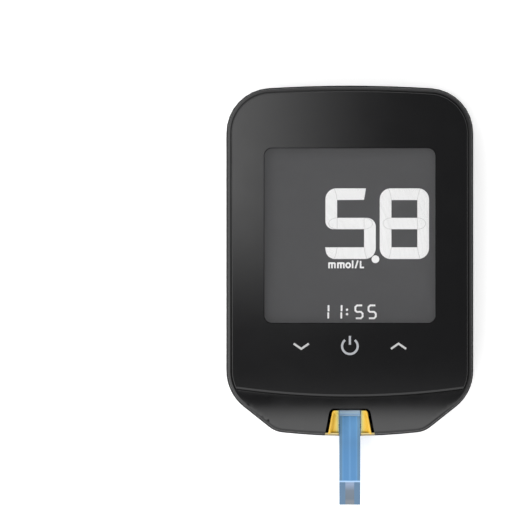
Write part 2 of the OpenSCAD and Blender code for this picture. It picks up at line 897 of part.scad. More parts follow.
// Strip: its film, which ends short of the reaction zone and of a band at the port, and the zone
film_t = 0.1;
film_end = 5.75;
zone_w = 2.1;
zone_l = 5.4;
band_l = 1.5;

module strip_base() {
    color("#4f8fc6")
    difference() {
        block([-strip_w / 2, base_y - strip_out, strip_z],
              [strip_w / 2, strip_end_y, strip_z + strip_t - film_t]);
        // Well of the reaction zone
        block([-zone_w / 2, base_y - strip_out - eps, strip_z + strip_t - 2 * film_t],
              [zone_w / 2, base_y - strip_out + zone_l, far]);
    }
}

module strip_film() {
    color("#6fa6d6")
    block([-strip_w / 2, base_y - strip_out + film_end, strip_z + strip_t - film_t],
          [strip_w / 2, notch_y - band_l, strip_z + strip_t]);
}

module strip_zone() {
    color("#a3a1a6")
    block([-zone_w / 2, base_y - strip_out, strip_z + strip_t - 2 * film_t],
          [zone_w / 2, base_y - strip_out + zone_l, strip_z + strip_t - film_t]);
}

// ---- Rear cover, battery door and battery ----

// Battery bay: side walls, and the ring round the cell
bay_wall = 2.2;
ring_gap = 0.3;
ring_t = 0.9;
ring_lift = 0.1;
// Door: its rails, its end, the wall behind that end, the nose that holds it, and the shelf above it
rail_w = 0.9;
rail_z = 0.75;
rail_gap = 0.1;
door_end_w = door_w + 2 * rail_w;
door_end_t = wall + 0.25;
door_stop_t = 0.8;
door_stop_h = 0.6;
nose_w = 12;
nose_l = 0.9;
shelf_t = 0.9;
// Grip ribs in the door
grips = 5;
grip_pitch = 1.5;
grip_depth = 0.3;
grip_w = 12;
grip_l = 0.6;
grip_set = 1.6;
label_w = 32;
label_l = 25;
label_rise = 25;
label_y = base_y + label_rise;
label_r = 2;
label_t = 0.1;
label_depth = 0.15;
// Sockets of the screw heads and holes of the screws
head_gap = 0.25;
shaft_gap = 0.1;

// Space of the door in the floor, the rails and the end wall, drawn outside the door by gap
module door_space(gap) {
    block([-door_w / 2 - gap, bay_y0 - gap + slide_gap, -eps], [door_w / 2 + gap, far, door_t + gap / 2]);
    block([-door_w / 2 - rail_w - gap, bay_y0 - gap + slide_gap, rail_z + rail_gap - gap / 2],
          [door_w / 2 + rail_w + gap, far, door_t + gap / 2]);
    block([-nose_w / 2 - gap, bay_y0 - nose_l - gap + slide_gap, rail_z + rail_gap - gap / 2],
          [nose_w / 2 + gap, far, door_t + gap / 2]);
    block([-door_end_w / 2 - gap, top_y - door_end_t - gap, -eps],
          [door_end_w / 2 + gap, far, door_end_h + gap]);
}

module rear_cover() {
    half_bay = door_w / 2 + slide_gap;
    ring_z = cell_z + ring_lift;
    color("#232326")
    difference() {
        union() {
            difference() {
                union() {
                    slab(0, 0, parting_z, back_edge_r, parting_step);
                    // Locating lip
                    translate([0, 0, parting_z - lip_h])
                        linear_extrude(2 * lip_h) outline(wall / 2 + seat_gap);
                }
                translate([0, 0, floor_t]) linear_extrude(body_t) outline(wall);
            }
            // Battery bay
            difference() {
                block([-half_bay - bay_wall, bay_y0 - bay_end_t, floor_t - eps],
                      [half_bay + bay_wall, bay_y1 + bay_end_t, bay_roof_z + bay_roof_t]);
                block([-half_bay, bay_y0, 0], [half_bay, bay_y1, bay_roof_z]);
            }
            translate([0, cell_y, ring_z]) difference() {
                cylinder(r = cell_d / 2 + ring_gap + ring_t, h = bay_roof_z + eps - ring_z);
                translate([0, 0, -eps]) cylinder(r = cell_d / 2 + ring_gap, h = bay_roof_z + eps - ring_z);
            }
            // Shelf over the door and the wall behind its end
            block([-half_bay - bay_wall, bay_y1, floor_t - eps],
                  [half_bay + bay_wall, top_y - door_end_t - slide_gap, floor_t + shelf_t]);
            block([-door_end_w / 2 - wall, top_y - door_end_t - slide_gap - door_stop_t, floor_t - eps],
                  [door_end_w / 2 + wall, top_y - wall / 2, door_end_h + slide_gap + door_stop_h]);
            mirrored_at(case_screw_xy)
                translate([0, 0, floor_t - eps]) cylinder(r = boss_r, h = boss_meet_z - floor_t + eps);
        }
        intersection() {
            door_space(slide_gap);
            block([-far, -far, -eps], [far, far, door_end_h + slide_gap]);
        }
        // Floor under the bay
        block([-half_bay, bay_y0, -eps], [half_bay, bay_y1, cell_z]);
        mirrored_at(case_screw_xy) {
            translate([0, 0, -eps]) cylinder(r = case_head_r + head_gap, h = screw_seat_z + eps);
            cylinder(r = case_screw_r + shaft_gap, h = body_t);
        }
        translate([0, 0, port_z]) linear_extrude(body_t) flared(0, 0);
        usb_opening();
        contact_slots();
        translate([0, label_y, -eps]) linear_extrude(label_depth + eps)
            round_rect(label_w + 2 * seat_gap, label_l + 2 * seat_gap, label_r);
    }
}

module rear_label() {
    color("#3a3a3e")
    translate([0, label_y, label_depth - label_t])
        linear_extrude(label_t) round_rect(label_w, label_l, label_r);
}

module battery_door() {
    grip_y = top_y - back_edge_r - grip_set;
    color("#232326")
    difference() {
        intersection() {
            slab(0, 0, door_end_h, back_edge_r, 0);
            door_space(0);
        }
        for (i = [0:grips - 1])
            translate([0, grip_y - i * grip_pitch, 0])
                cube([grip_w, grip_l, 2 * grip_depth], center = true);
    }
}

// Battery contacts: their sheet, their places on the cell, their leaf and their foot under the board
contact_t = 0.2;
contact_w = 4;
contact_gap = 0.3;
contact_foot = 2.6;
positive_gap = 0.05;
positive_lift = 0.9;
positive_x = cell_d / 2 + positive_gap;
negative_rise = 4.5;
negative_leaf = 6.5;
negative_y = cell_y + negative_rise;

module contact_slots() {
    half = contact_w / 2 + contact_gap;
    block([positive_x - contact_gap, cell_y - half, cell_z + positive_lift - contact_gap],
          [positive_x + contact_t + contact_gap, cell_y + half, far]);
    block([-half, negative_y - contact_gap, bay_roof_z - eps],
          [half, negative_y + contact_t + contact_gap, far]);
}

module battery_contact_positive() {
    color("#c9b77a") {
        block([positive_x, cell_y - contact_w / 2, cell_z + positive_lift],
              [positive_x + contact_t, cell_y + contact_w / 2, board_z0]);
        block([positive_x, cell_y - contact_w / 2, board_z0 - contact_t],
              [positive_x + contact_foot, cell_y + contact_w / 2, board_z0]);
    }
}

module battery_contact_negative() {
    cell_z1 = cell_z + cell_t;
    color("#c9b77a") {
        block([-contact_w / 2, negative_y, cell_z1],
              [contact_w / 2, negative_y + contact_t, board_z0]);
        block([-contact_w / 2, negative_y - negative_leaf, cell_z1],
              [contact_w / 2, negative_y + contact_t, cell_z1 + contact_t]);
        block([-contact_w / 2, negative_y, board_z0 - contact_t],
              [contact_w / 2, negative_y + contact_foot, board_z0]);
    }
}

// Edges of the cell's can and of its smaller cap
cell_bevel = 0.3;
cap_set = 1.5;
crimp_h = 0.35;

module coin_cell() {
    r = cell_d / 2;
    cap_r = r - cap_set;
    can_z = cell_t - crimp_h;
    color("#c3c6ca")
    translate([0, cell_y, cell_z]) rotate_extrude($fn = 96)
        polygon([[0, 0], [r - cell_bevel, 0], [r, cell_bevel], [r, can_z - cell_bevel],
                 [r - cell_bevel, can_z], [cap_r + cell_bevel, can_z], [cap_r, cell_t], [0, cell_t]]);
}

// Tab under the cell, with its ends past the cell
tab_w = 6;
tab_near = 0.5;
tab_far = 1;

module battery_pull_tab() {
    color("#d8d8c8")
    block([-tab_w / 2, cell_y - cell_d / 2 - tab_near, cell_z - tab_t],
          [tab_w / 2, cell_y + cell_d / 2 + tab_far, cell_z]);
}

front_cover();
front_panel();
display_window();
display_gasket();
display_front_glass();
display_segments();
display_rear_glass();
display_reflector();
display_holder();
display_tail();
display_socket();
key_down();
key_select();
key_up();
dome_down();
dome_select();
dome_up();
main_board();
microcontroller();
board_chips();
board_passives();
board_screws();
usb_shell();
usb_tongue();
strip_port();
strip_connector();
strip_contacts();
rear_cover();
rear_label();
case_screws();
battery_door();
coin_cell();
battery_pull_tab();
battery_contact_positive();
battery_contact_negative();
strip_base();
strip_film();
strip_zone();
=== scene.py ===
"""A blood glucose meter that lies on its back, seen from straight above.

Lengths are millimetres in the same frame as the solids: +Z leaves the display, +Y points to the
display end, and the origin is the centre of the back face. A mesh is scaled to metres as it is made.
"""
import math

import bmesh
import bpy
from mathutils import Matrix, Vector
from mathutils.geometry import delaunay_2d_cdt


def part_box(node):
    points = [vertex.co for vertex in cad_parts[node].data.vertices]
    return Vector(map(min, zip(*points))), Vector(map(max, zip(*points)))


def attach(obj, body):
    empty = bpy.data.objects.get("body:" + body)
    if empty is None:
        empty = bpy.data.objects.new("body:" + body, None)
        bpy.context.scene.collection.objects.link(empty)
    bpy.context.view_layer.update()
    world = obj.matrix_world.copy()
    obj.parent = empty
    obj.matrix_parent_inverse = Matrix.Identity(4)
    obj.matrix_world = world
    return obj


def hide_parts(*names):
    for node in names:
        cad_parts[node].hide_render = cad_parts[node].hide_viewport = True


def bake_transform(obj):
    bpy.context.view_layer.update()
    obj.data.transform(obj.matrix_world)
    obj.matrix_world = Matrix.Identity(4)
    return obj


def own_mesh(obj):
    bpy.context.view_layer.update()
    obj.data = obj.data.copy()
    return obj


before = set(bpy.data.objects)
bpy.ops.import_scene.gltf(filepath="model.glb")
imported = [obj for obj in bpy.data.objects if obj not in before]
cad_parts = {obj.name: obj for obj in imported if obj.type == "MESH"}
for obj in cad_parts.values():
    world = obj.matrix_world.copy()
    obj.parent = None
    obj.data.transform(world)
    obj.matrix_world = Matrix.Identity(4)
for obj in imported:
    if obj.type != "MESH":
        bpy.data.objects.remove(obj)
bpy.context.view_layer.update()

scene = bpy.context.scene
MM = 0.001


def node_box(name):
    """Lowest and highest corner of a node, in millimetres."""
    low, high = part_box(name)
    return low / MM, high / MM


# ---- Sizes ----

COVER_LOW, COVER_HIGH = node_box("rear_cover")
FRONT_HIGH = node_box("front_cover")[1]
PANEL_LOW, PANEL_HIGH = node_box("front_panel")
WINDOW_LOW, WINDOW_HIGH = node_box("display_window")
SEGMENT_LOW, SEGMENT_HIGH = node_box("display_segments")
KEY_LOW, KEY_HIGH = node_box("key_select")
GLASS_LOW, GLASS_HIGH = node_box("display_front_glass")
STRIP_LOW, STRIP_HIGH = node_box("strip_base")
FILM_HIGH = node_box("strip_film")[1]
BOARD_LOW = node_box("main_board")[0]

HALF_W = COVER_HIGH.x
TOP_Y = COVER_HIGH.y
BASE_Y = COVER_LOW.y
PARTING_Z = 7.6
FACE_Z = FRONT_HIGH.z
FACE_T = 1.6
WALL = 1.5
STEP = HALF_W - FRONT_HIGH.x
RIM_W = 1.15
PANEL_GAP = HALF_W - RIM_W - PANEL_HIGH.x
CHIN_R = 25
CHIN_CURVE_L = 11.5
CHIN_Y = BASE_Y + CHIN_CURVE_L
# The crease is the panel's curved lower edge, CHIN_L from the base at the middle
CHIN_L = 9.45
CREASE_R = 195
CREASE_C = Vector((0, BASE_Y + CHIN_L + CREASE_R))
CREASE_BEVEL = 0.45

# Corners of the outline
TOP_R = 10.7
SIDE_R = 10.9
FOOT_R = 6
CROWN_R = 310
BASE_R = 150
FOOT_SLOPE = math.radians(38.4)
TOE_W = 32.9
TOE = Vector((TOE_W / 2, BASE_Y))

# Strip port
NOTCH_W = 9.5
MOUTH_W = 12
NOTCH_L = 6.55
NOTCH_R = 1.3
FLARE = math.atan2((MOUTH_W - NOTCH_W) / 2, NOTCH_L)
NOTCH_Y = BASE_Y + NOTCH_L
STRIP_SIDE_GAP = 0.15
STRIP_GAP = 0.1
CHANNEL = STRIP_HIGH.x + STRIP_SIDE_GAP
CHANNEL_Z = STRIP_LOW.z - STRIP_GAP


# ---- Outline of the body ----

def arc_point(arc, angle, inset):
    centre, radius = arc[:2]
    return centre + (radius - inset) * Vector((math.cos(angle), math.sin(angle)))


def body_arcs():
    """Arcs round the body, anticlockwise: centre, radius, first angle, last angle, steps, steps of the
    straight line that follows."""
    crown_c = Vector((0, TOP_Y - CROWN_R))
    base_c = Vector((0, BASE_Y + BASE_R))
    top_x = HALF_W - TOP_R
    top_c = Vector((top_x, crown_c.y + math.sqrt((CROWN_R - TOP_R) ** 2 - top_x ** 2)))
    normal = Vector((math.sin(FOOT_SLOPE), -math.cos(FOOT_SLOPE)))
    along = Vector((math.cos(FOOT_SLOPE), math.sin(FOOT_SLOPE)))
    side_x = HALF_W - SIDE_R
    side_c = Vector((side_x, (TOE @ normal - SIDE_R - side_x * normal.x) / normal.y))
    start = TOE - FOOT_R * normal - base_c
    reach = -(start @ along) - math.sqrt((start @ along) ** 2 - start @ start + (BASE_R - FOOT_R) ** 2)
    foot_c = TOE - FOOT_R * normal + reach * along
    crown_a = math.asin(top_c.x / (CROWN_R - TOP_R))
    base_a = math.asin(foot_c.x / (BASE_R - FOOT_R))
    quarter = math.pi / 2
    right = [(foot_c, FOOT_R, base_a - quarter, FOOT_SLOPE - quarter, 12, 14),
             (side_c, SIDE_R, FOOT_SLOPE - quarter, 0, 18, 16),
             (top_c, TOP_R, 0, quarter - crown_a, 28, 0)]
    crown = (crown_c, CROWN_R, quarter - crown_a, quarter + crown_a, 30, 0)
    base = (base_c, BASE_R, -quarter - base_a, -quarter + base_a, 40, 0)
    turned = [(Vector((-c.x, c.y)), r, math.pi - a1, math.pi - a0, n, 0) for c, r, a0, a1, n, _ in right]
    left = [turned[2][:5] + (16,), turned[1][:5] + (14,), turned[0]]
    return right + [crown] + left + [base]


ARCS = body_arcs()


def outline(inset):
    """Points round the body, moved inward by inset. Every inset gives the same number of points."""
    points = []
    for arc, following in zip(ARCS, ARCS[1:] + ARCS[:1]):
        _, _, first, last, steps, straight = arc
        count = steps + 1 if straight else steps
        points += [arc_point(arc, first + (last - first) * i / steps, inset) for i in range(count)]
        if straight:
            start = arc_point(arc, last, inset)
            end = arc_point(following, following[2], inset)
            points += [start.lerp(end, i / straight) for i in range(1, straight)]
    return points


def face_height(y):
    """Height of the front face, which curves down to the base along the chin."""
    drop = max(CHIN_Y - y, 0)
    return FACE_Z - CHIN_R + math.sqrt(CHIN_R ** 2 - drop ** 2)


def rounded(corners, steps=6):
    """Closed outline through (x, y, radius) corners, each rounded by its radius."""
    points = []
    count = len(corners)
    for i in range(count):
        before, here, after = (Vector(corners[(i + k) % count][:2]) for k in (-1, 0, 1))
        radius = corners[i][2]
        a = (before - here).normalized()
        b = (after - here).normalized()
        half = a.angle(b) / 2
        if radius < 1e-3 or abs(half - math.pi / 2) < 1e-3:
            points.append(here)
            continue
        centre = here + (a + b).normalized() * radius / math.sin(half)
        first = here + a * radius / math.tan(half) - centre
        last = here + b * radius / math.tan(half) - centre
        turn = first.angle_signed(last)
        for k in range(steps + 1):
            angle = -turn * k / steps
            cos, sin = math.cos(angle), math.sin(angle)
            points.append(centre + Vector((first.x * cos - first.y * sin, first.x * sin + first.y * cos)))
    return points


def rectangle(low, high, radius=0.0, steps=6):
    return rounded([(high.x, low.y, radius), (high.x, high.y, radius),
                    (low.x, high.y, radius), (low.x, low.y, radius)], steps)


def inside(point, loop):
    """Whether a point lies inside a closed outline."""
    found = False
    x, y = point
    for a, b in zip(loop, loop[1:] + loop[:1]):
        if (a.y > y) != (b.y > y) and x < a.x + (y - a.y) / (b.y - a.y) * (b.x - a.x):
            found = not found
    return found


# ---- Meshes ----

class Solid:
    """Collects points and faces, then makes one object of them."""

    def __init__(self):
        self.points = []
        self.faces = []

    def add(self, flat, height):
        """Adds flat points at a height, which is a number or a function of y, and returns their numbers."""
        first = len(self.points)
        for p in flat:
            z = height(p.y) if callable(height) else height
            self.points.append((p.x, p.y, z))
        return list(range(first, len(self.points)))

    def band(self, below, above):
        """Quads between two loops with as many points."""
        count = len(below)
        for i in range(count):
            k = (i + 1) % count
            self.faces.append((below[i], below[k], above[k], above[i]))

    def fill(self, outer, holes, height, inner=()):
        """Triangles inside an outline and outside its holes, with further points in between."""
        loops = [list(outer)] + [list(h) for h in holes]
        flat = [p for loop in loops for p in loop]
        edges = []
        for loop in loops:
            first = len(edges)
            edges += [(first + i, first + (i + 1) % len(loop)) for i in range(len(loop))]
        points, _, faces, *_ = delaunay_2d_cdt(flat + list(inner), edges, [], 0, 1e-5)
        numbers = self.add(points, height)
        for face in faces:
            centre = sum((points[i] for i in face), Vector((0, 0))) / len(face)
            if inside(centre, loops[0]) and not any(inside(centre, h) for h in loops[1:]):
                self.faces.append(tuple(numbers[i] for i in face))

    def prism(self, loop, low, high, holes=()):
        """Upright prism with flat ends."""
        for ring in [loop, *holes]:
            self.band(self.add(ring, low), self.add(ring, high))
        self.fill(loop, holes, low)
        self.fill(loop, holes, high)

    def make(self, name, smooth=math.radians(30)):
        mesh = bpy.data.meshes.new(name)
        mesh.from_pydata([(x * MM, y * MM, z * MM) for x, y, z in self.points], [], self.faces)
        work = bmesh.new()
        work.from_mesh(mesh)
        bmesh.ops.remove_doubles(work, verts=work.verts, dist=2e-6)
        bmesh.ops.dissolve_degenerate(work, edges=work.edges, dist=1e-7)
        bmesh.ops.recalc_face_normals(work, faces=work.faces)
        work.to_mesh(mesh)
        work.free()
        shade(mesh, smooth)
        piece = bpy.data.objects.new(name, mesh)
        scene.collection.objects.link(piece)
        return piece


def shade(mesh, angle):
    """Smooth shading, with sharp edges where faces meet at more than an angle."""
    mesh.shade_smooth()
    mesh.set_sharp_from_angle(angle=angle)


def cut(piece, *tools):
    """Takes the tools' space out of a piece."""
    for tool in tools:
        step = piece.modifiers.new("cut", "BOOLEAN")
        step.object = tool
        step.operation = "DIFFERENCE"
        step.solver = "EXACT"
    bpy.context.view_layer.update()
    mesh = bpy.data.meshes.new_from_object(piece.evaluated_get(bpy.context.evaluated_depsgraph_get()))
    piece.modifiers.clear()
    piece.data = mesh
    for tool in tools:
        bpy.data.objects.remove(tool)
    shade(mesh, math.radians(30))


# ---- Materials ----

def new_material(name):
    material = bpy.data.materials.new(name)
    material.use_nodes = True
    nodes = material.node_tree.nodes
    return material, nodes, material.node_tree.links, nodes["Principled BSDF"]


def colour(value, level=1.0):
    """Linear colour from an sRGB hex string, times a level."""
    parts = [int(value[i:i + 2], 16) / 255 for i in (1, 3, 5)]
    linear = [c / 12.92 if c <= 0.04045 else ((c + 0.055) / 1.055) ** 2.4 for c in parts]
    return tuple(c * level for c in linear) + (1.0,)


def noise(nodes, links, scale, detail=2.0, stretch=(1, 1, 1)):
    """Noise texture over the object's own coordinates; scale counts its cells per metre."""
    place = nodes.new("ShaderNodeTexCoord")
    mapping = nodes.new("ShaderNodeMapping")
    mapping.inputs["Scale"].default_value = stretch
    texture = nodes.new("ShaderNodeTexNoise")
    texture.inputs["Scale"].default_value = scale
    texture.inputs["Detail"].default_value = detail
    links.new(place.outputs["Object"], mapping.inputs["Vector"])
    links.new(mapping.outputs["Vector"], texture.inputs["Vector"])
    return texture.outputs["Fac"]


def spread(nodes, links, source, low, high):
    """Maps a texture's middle range to the range from low to high."""
    ramp = nodes.new("ShaderNodeMapRange")
    ramp.inputs["From Min"].default_value = 0.3
    ramp.inputs["From Max"].default_value = 0.7
    ramp.inputs["To Min"].default_value = low
    ramp.inputs["To Max"].default_value = high
    links.new(source, ramp.inputs["Value"])
    return ramp.outputs["Result"]


def surface(name, base, rough, grain=2500, depth=0.01, vary=0.15, metal=0.0, tint=0.12, gloss=0.5,
            stretch=(1, 1, 1)):
    """Material with a fine grain: its colour, roughness and relief vary with two noises."""
    material, nodes, links, shader = new_material(name)
    shader.inputs["Metallic"].default_value = metal
    shader.inputs["Specular IOR Level"].default_value = gloss
    fine = noise(nodes, links, grain, 3.0, stretch)
    broad = noise(nodes, links, grain / 25, 2.0)
    links.new(spread(nodes, links, broad, rough * (1 - vary), rough * (1 + vary)), shader.inputs["Roughness"])
    mix = nodes.new("ShaderNodeMix")
    mix.data_type = "RGBA"
    mix.inputs["A"].default_value = tuple(c * (1 - tint) for c in base[:3]) + (1.0,)
    mix.inputs["B"].default_value = tuple(min(c * (1 + tint), 1) for c in base[:3]) + (1.0,)
    links.new(fine, mix.inputs["Factor"])
    links.new(mix.outputs["Result"], shader.inputs["Base Color"])
    bump = nodes.new("ShaderNodeBump")
    bump.inputs["Strength"].default_value = 0.5
    bump.inputs["Distance"].default_value = depth * MM
    links.new(fine, bump.inputs["Height"])
    links.new(bump.outputs["Normal"], shader.inputs["Normal"])
    return material


def banded(name, axis, low, high, stops, rough, origin=0.0, painted_light=None):
    """Material with bands along an axis: stops are (place from low to high in mm past origin, sRGB colour).
    The last argument adds painted light, lighter towards one y: (y of the full gain, y of no gain, gain)."""
    material = surface(name, colour(stops[0][1]), rough, grain=3000, depth=0.002, tint=0.04)
    nodes = material.node_tree.nodes
    links = material.node_tree.links
    place = nodes.new("ShaderNodeTexCoord")
    split = nodes.new("ShaderNodeSeparateXYZ")
    span = nodes.new("ShaderNodeMapRange")
    span.inputs["From Min"].default_value = (origin + low) * MM
    span.inputs["From Max"].default_value = (origin + high) * MM
    ramp = nodes.new("ShaderNodeValToRGB")
    ramp.color_ramp.elements.remove(ramp.color_ramp.elements[0])
    for i, (where, value) in enumerate(stops):
        share = (where - low) / (high - low)
        stop = ramp.color_ramp.elements[0] if i == 0 else ramp.color_ramp.elements.new(share)
        stop.position = share
        stop.color = colour(value)
    links.new(place.outputs["Object"], split.inputs["Vector"])
    links.new(split.outputs[axis], span.inputs["Value"])
    links.new(span.outputs["Result"], ramp.inputs["Fac"])
    shader = nodes["Principled BSDF"]
    fine = shader.inputs["Base Color"].links[0].from_node
    tone = nodes.new("ShaderNodeMix")
    tone.data_type = "RGBA"
    tone.blend_type = "MULTIPLY"
    tone.inputs["Factor"].default_value = 1.0
    fine.inputs["A"].default_value = (0.96, 0.96, 0.96, 1)
    fine.inputs["B"].default_value = (1, 1, 1, 1)
    links.new(ramp.outputs["Color"], tone.inputs["A"])
    links.new(fine.outputs["Result"], tone.inputs["B"])
    links.new(tone.outputs["Result"], shader.inputs["Base Color"])
    # Painted light: the colour is scaled up towards one y, lighter where the piece lies in shade
    if painted_light:
        gain = nodes.new("ShaderNodeMapRange")
        gain.interpolation_type = "SMOOTHSTEP"
        for slot, value in zip(("From Min", "From Max", "To Min", "To Max"),
                               (painted_light[1] * MM, painted_light[0] * MM, 1.0, painted_light[2])):
            gain.inputs[slot].default_value = value
        scaled = nodes.new("ShaderNodeVectorMath")
        scaled.operation = "SCALE"
        capped = nodes.new("ShaderNodeVectorMath")
        capped.operation = "MINIMUM"
        capped.inputs[1].default_value = (0.9, 0.9, 0.9)
        links.new(split.outputs["Y"], gain.inputs["Value"])
        links.new(tone.outputs["Result"], scaled.inputs["Vector"])
        links.new(gain.outputs["Result"], scaled.inputs["Scale"])
        links.new(scaled.outputs["Vector"], capped.inputs[0])
        links.new(capped.outputs["Vector"], shader.inputs["Base Color"])
    return material


def mirrored(stops):
    """Stops on the positive side of an axis, and the same on its negative side."""
    return [(-where, value) for where, value in reversed(stops)] + stops


# Lip across the mouth of the notch: length of its slope, drop of the slope, and height of its top
LIP_SLOPE_L = 0.45
LIP_DROP = 1.2
LIP_Z = face_height(BASE_Y + LIP_SLOPE_L) - 0.4

# Blues of the test strip: the film with the pale tracks under it, its edges, the bare end, and the contacts
FILM_BLUE = "#5180ad"
FILM_TRACK = "#5d8bb7"
FILM_EDGE = "#5b7d9a"
FILM_GLINT = "#a4c4e6"
BASE_BLUE = "#597590"
CONTACT_BLUE = "#94c0f4"
CONTACT_PALE = "#c8e6ff"

MATERIALS = {
    "shell": surface("shell_black", colour("#0c0c0d"), 0.22, grain=3500, depth=0.003, gloss=0.42),
    "rear": surface("rear_black", colour("#111112"), 0.48, grain=2600, depth=0.03, gloss=0.15),
    "panel": surface("panel_black", colour("#101011"), 0.16, grain=5000, depth=0.0006, vary=0.06),
    "board": surface("board_green", colour("#0f4a24"), 0.4, grain=1800, depth=0.01),
    "steel": surface("steel", colour("#b4b6ba"), 0.3, grain=3000, depth=0.003, metal=1.0, tint=0.06,
                     stretch=(1, 12, 1)),
    "gilt": surface("gilt", colour("#d9b25a"), 0.28, grain=3000, depth=0.003, metal=1.0, tint=0.06),
    "chip": surface("chip_black", colour("#1c1c1f"), 0.6, grain=4000, depth=0.01),
    "ceramic": surface("ceramic_tan", colour("#a3917a"), 0.5, grain=4000, depth=0.01),
    "white_plastic": surface("white_plastic", colour("#dcdcd6"), 0.5, grain=2500, depth=0.01, tint=0.04),
    "ivory": surface("ivory_plastic", colour("#d2cbb2"), 0.5, grain=2500, depth=0.01, tint=0.05),
    "amber": surface("amber_film", colour("#a56a24"), 0.3, grain=2000, depth=0.004, tint=0.08),
    "foam": surface("foam_black", colour("#0d0d0d"), 0.9, grain=3500, depth=0.05, gloss=0.2),
    # The port's yellow is painted olive and dull next to the channel, which is painted shade along the strip's edge. It
    # is a little deeper gold further out, which is painted shade below each wing's raised edge
    "yellow": banded("port_yellow", "X", -6, 6, mirrored([
        (2.66, "#f2ecd8"), (2.68, "#7f8c68"), (2.85, "#a39c58"), (3.1, "#bdab52"), (3.4, "#c6a636"), (3.8, "#c89d1c"),
        (4.6, "#cba12a"), (6, "#cba636")]), 0.42),
    # The port's neck is painted dark brown: painted shade where it lies deep in the notch
    "port_painted_shade": surface("port_shaded", colour("#1c1206"), 0.6, grain=3000, depth=0.004),
    # The lip is painted darker down its slope, which is painted shade, and paler along its top edge, which is a painted
    # highlight
    "lip": banded("port_lip", "Z", LIP_Z - LIP_DROP, LIP_Z, [
        (LIP_Z - LIP_DROP, "#7d6d3f"), (LIP_Z - 0.12, "#7d6d3f"), (LIP_Z - 0.06, "#c2b074"), (LIP_Z, "#c4b376")], 0.42),
    "print": surface("print_grey", colour("#a8a8a8"), 0.55, grain=6000, depth=0.002, tint=0.03),
    "dim_print": surface("print_dim_grey", colour("#94969a"), 0.55, grain=6000, depth=0.002, tint=0.03),
    "label": surface("label_grey", colour("#3b3b3e"), 0.55, grain=1500, depth=0.006),
    "tab": surface("tab_film", colour("#cfcfc0"), 0.3, grain=1500, depth=0.004, tint=0.05),
    # The film is painted lighter towards its inner end: painted light where the deep channel shades it
    "film": banded("strip_film_blue", "X", -2.4, 2.4, mirrored([
        (0.1, FILM_TRACK), (0.35, FILM_BLUE), (1.35, FILM_BLUE), (1.7, FILM_TRACK), (1.9, FILM_EDGE),
        (2.4, FILM_EDGE)]), 0.35, painted_light=(FILM_HIGH.y, BASE_Y - 2, 1.82)),
    # The base carries a narrow painted glint near its tip. It turns near black past the contacts, which is painted
    # shade where the strip runs under the shell's edge
    "base": banded("strip_base_blue", "Y", 0, 22.6, [
        (0, BASE_BLUE), (5.3, BASE_BLUE), (5.45, FILM_GLINT), (5.7, FILM_GLINT), (5.76, FILM_TRACK),
        (21.0, CONTACT_BLUE), (21.25, CONTACT_PALE), (21.5, CONTACT_BLUE), (21.75, CONTACT_PALE), (22.4, "#b8d0ee"),
        (22.46, "#12161c")], 0.4, STRIP_LOW.y),
    "zone": banded("strip_zone_grey", "Y", 0, 5.4, [
        (0, "#71777f"), (0.9, "#71777f"), (1.4, "#626d79"), (3.4, "#67727f"), (4.9, "#8292ab"), (5.25, "#7a8ca6"),
        (5.4, "#a0b8d8")], 0.6, STRIP_LOW.y),
}


def glowing(name, base, glow):
    """Material of the lit display: plain and dull, with a glow of its own."""
    material = surface(name, base, 0.6, grain=4000, depth=0.001, tint=0.02, gloss=0.0)
    shader = material.node_tree.nodes["Principled BSDF"]
    shader.inputs["Emission Color"].default_value = base
    shader.inputs["Emission Strength"].default_value = glow
    return material


def see_through(name, base, alpha, rough):
    """Coated glass or lens, which reflects almost nothing."""
    material = surface(name, base, rough, grain=2000, depth=0.0005, tint=0.02, gloss=0.1)
    material.node_tree.nodes["Principled BSDF"].inputs["Alpha"].default_value = alpha
    return material


DISPLAY_GLOW = 1.1
for lit, shade_of_grey in (("display_back", "#414142"), ("display_white", "#b4b4b4"), ("display_line", "#8c8c8c")):
    MATERIALS[lit] = glowing(lit, colour(shade_of_grey), DISPLAY_GLOW)
MATERIALS["lens"] = see_through("lens", colour("#101010"), 0.06, 0.15)
MATERIALS["glass"] = see_through("glass", colour("#202020"), 0.04, 0.1)


def paint(piece, name):
    piece.data.materials.clear()
    piece.data.materials.append(MATERIALS[name])


def place(piece, body, material, slot, *replaced):
    paint(piece, material)
    if replaced:
        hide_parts(*replaced)
    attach(piece, body)
    return piece


# ---- Front cover ----

def crease_point(x, offset=0.0):
    """Point of the panel's curved lower edge at x, moved outward by offset."""
    radius = CREASE_R + offset
    return Vector((x, CREASE_C.y - math.sqrt(radius ** 2 - x ** 2)))


def above_crease(inset, offset, steps=60):
    """Outline moved inward by inset, cut off along the panel's lower edge moved outward by offset."""
    ring = outline(inset)
    count = len(ring)
    radius = CREASE_R + offset
    kept = [(p - CREASE_C).length < radius for p in ring]
    first = next(i for i in range(count) if kept[i] and not kept[i - 1])
    loop = []
    i = first
    while kept[i % count]:
        loop.append(ring[i % count])
        i += 1

    def meeting(p, q):
        """Where the line from p, inside the circle, to q crosses it."""
        low, high = 0.0, 1.0
        for _ in range(30):
            middle = (low + high) / 2
            if (p.lerp(q, middle) - CREASE_C).length < radius:
                low = middle
            else:
                high = middle
        return p.lerp(q, low)

    left = meeting(loop[-1], ring[i % count])
    right = meeting(loop[0], ring[first - 1])
    edge = [crease_point(left.x + (right.x - left.x) * k / steps, offset) for k in range(1, steps)]
    return loop + [left] + edge + [right]


def notch_outline(gap, side_gap, mouth_y):
    """Outline of the flared notch, drawn in by gap at its inner end and by side_gap at its sides."""
    end_y = NOTCH_Y - gap
    half = NOTCH_W / 2 - side_gap / math.cos(FLARE) + gap * math.tan(FLARE)
    mouth = half + (end_y - mouth_y) * math.tan(FLARE)
    return rounded([(-mouth, mouth_y, 0), (mouth, mouth_y, 0),
                    (half, end_y, NOTCH_R), (-half, end_y, NOTCH_R)], 10)


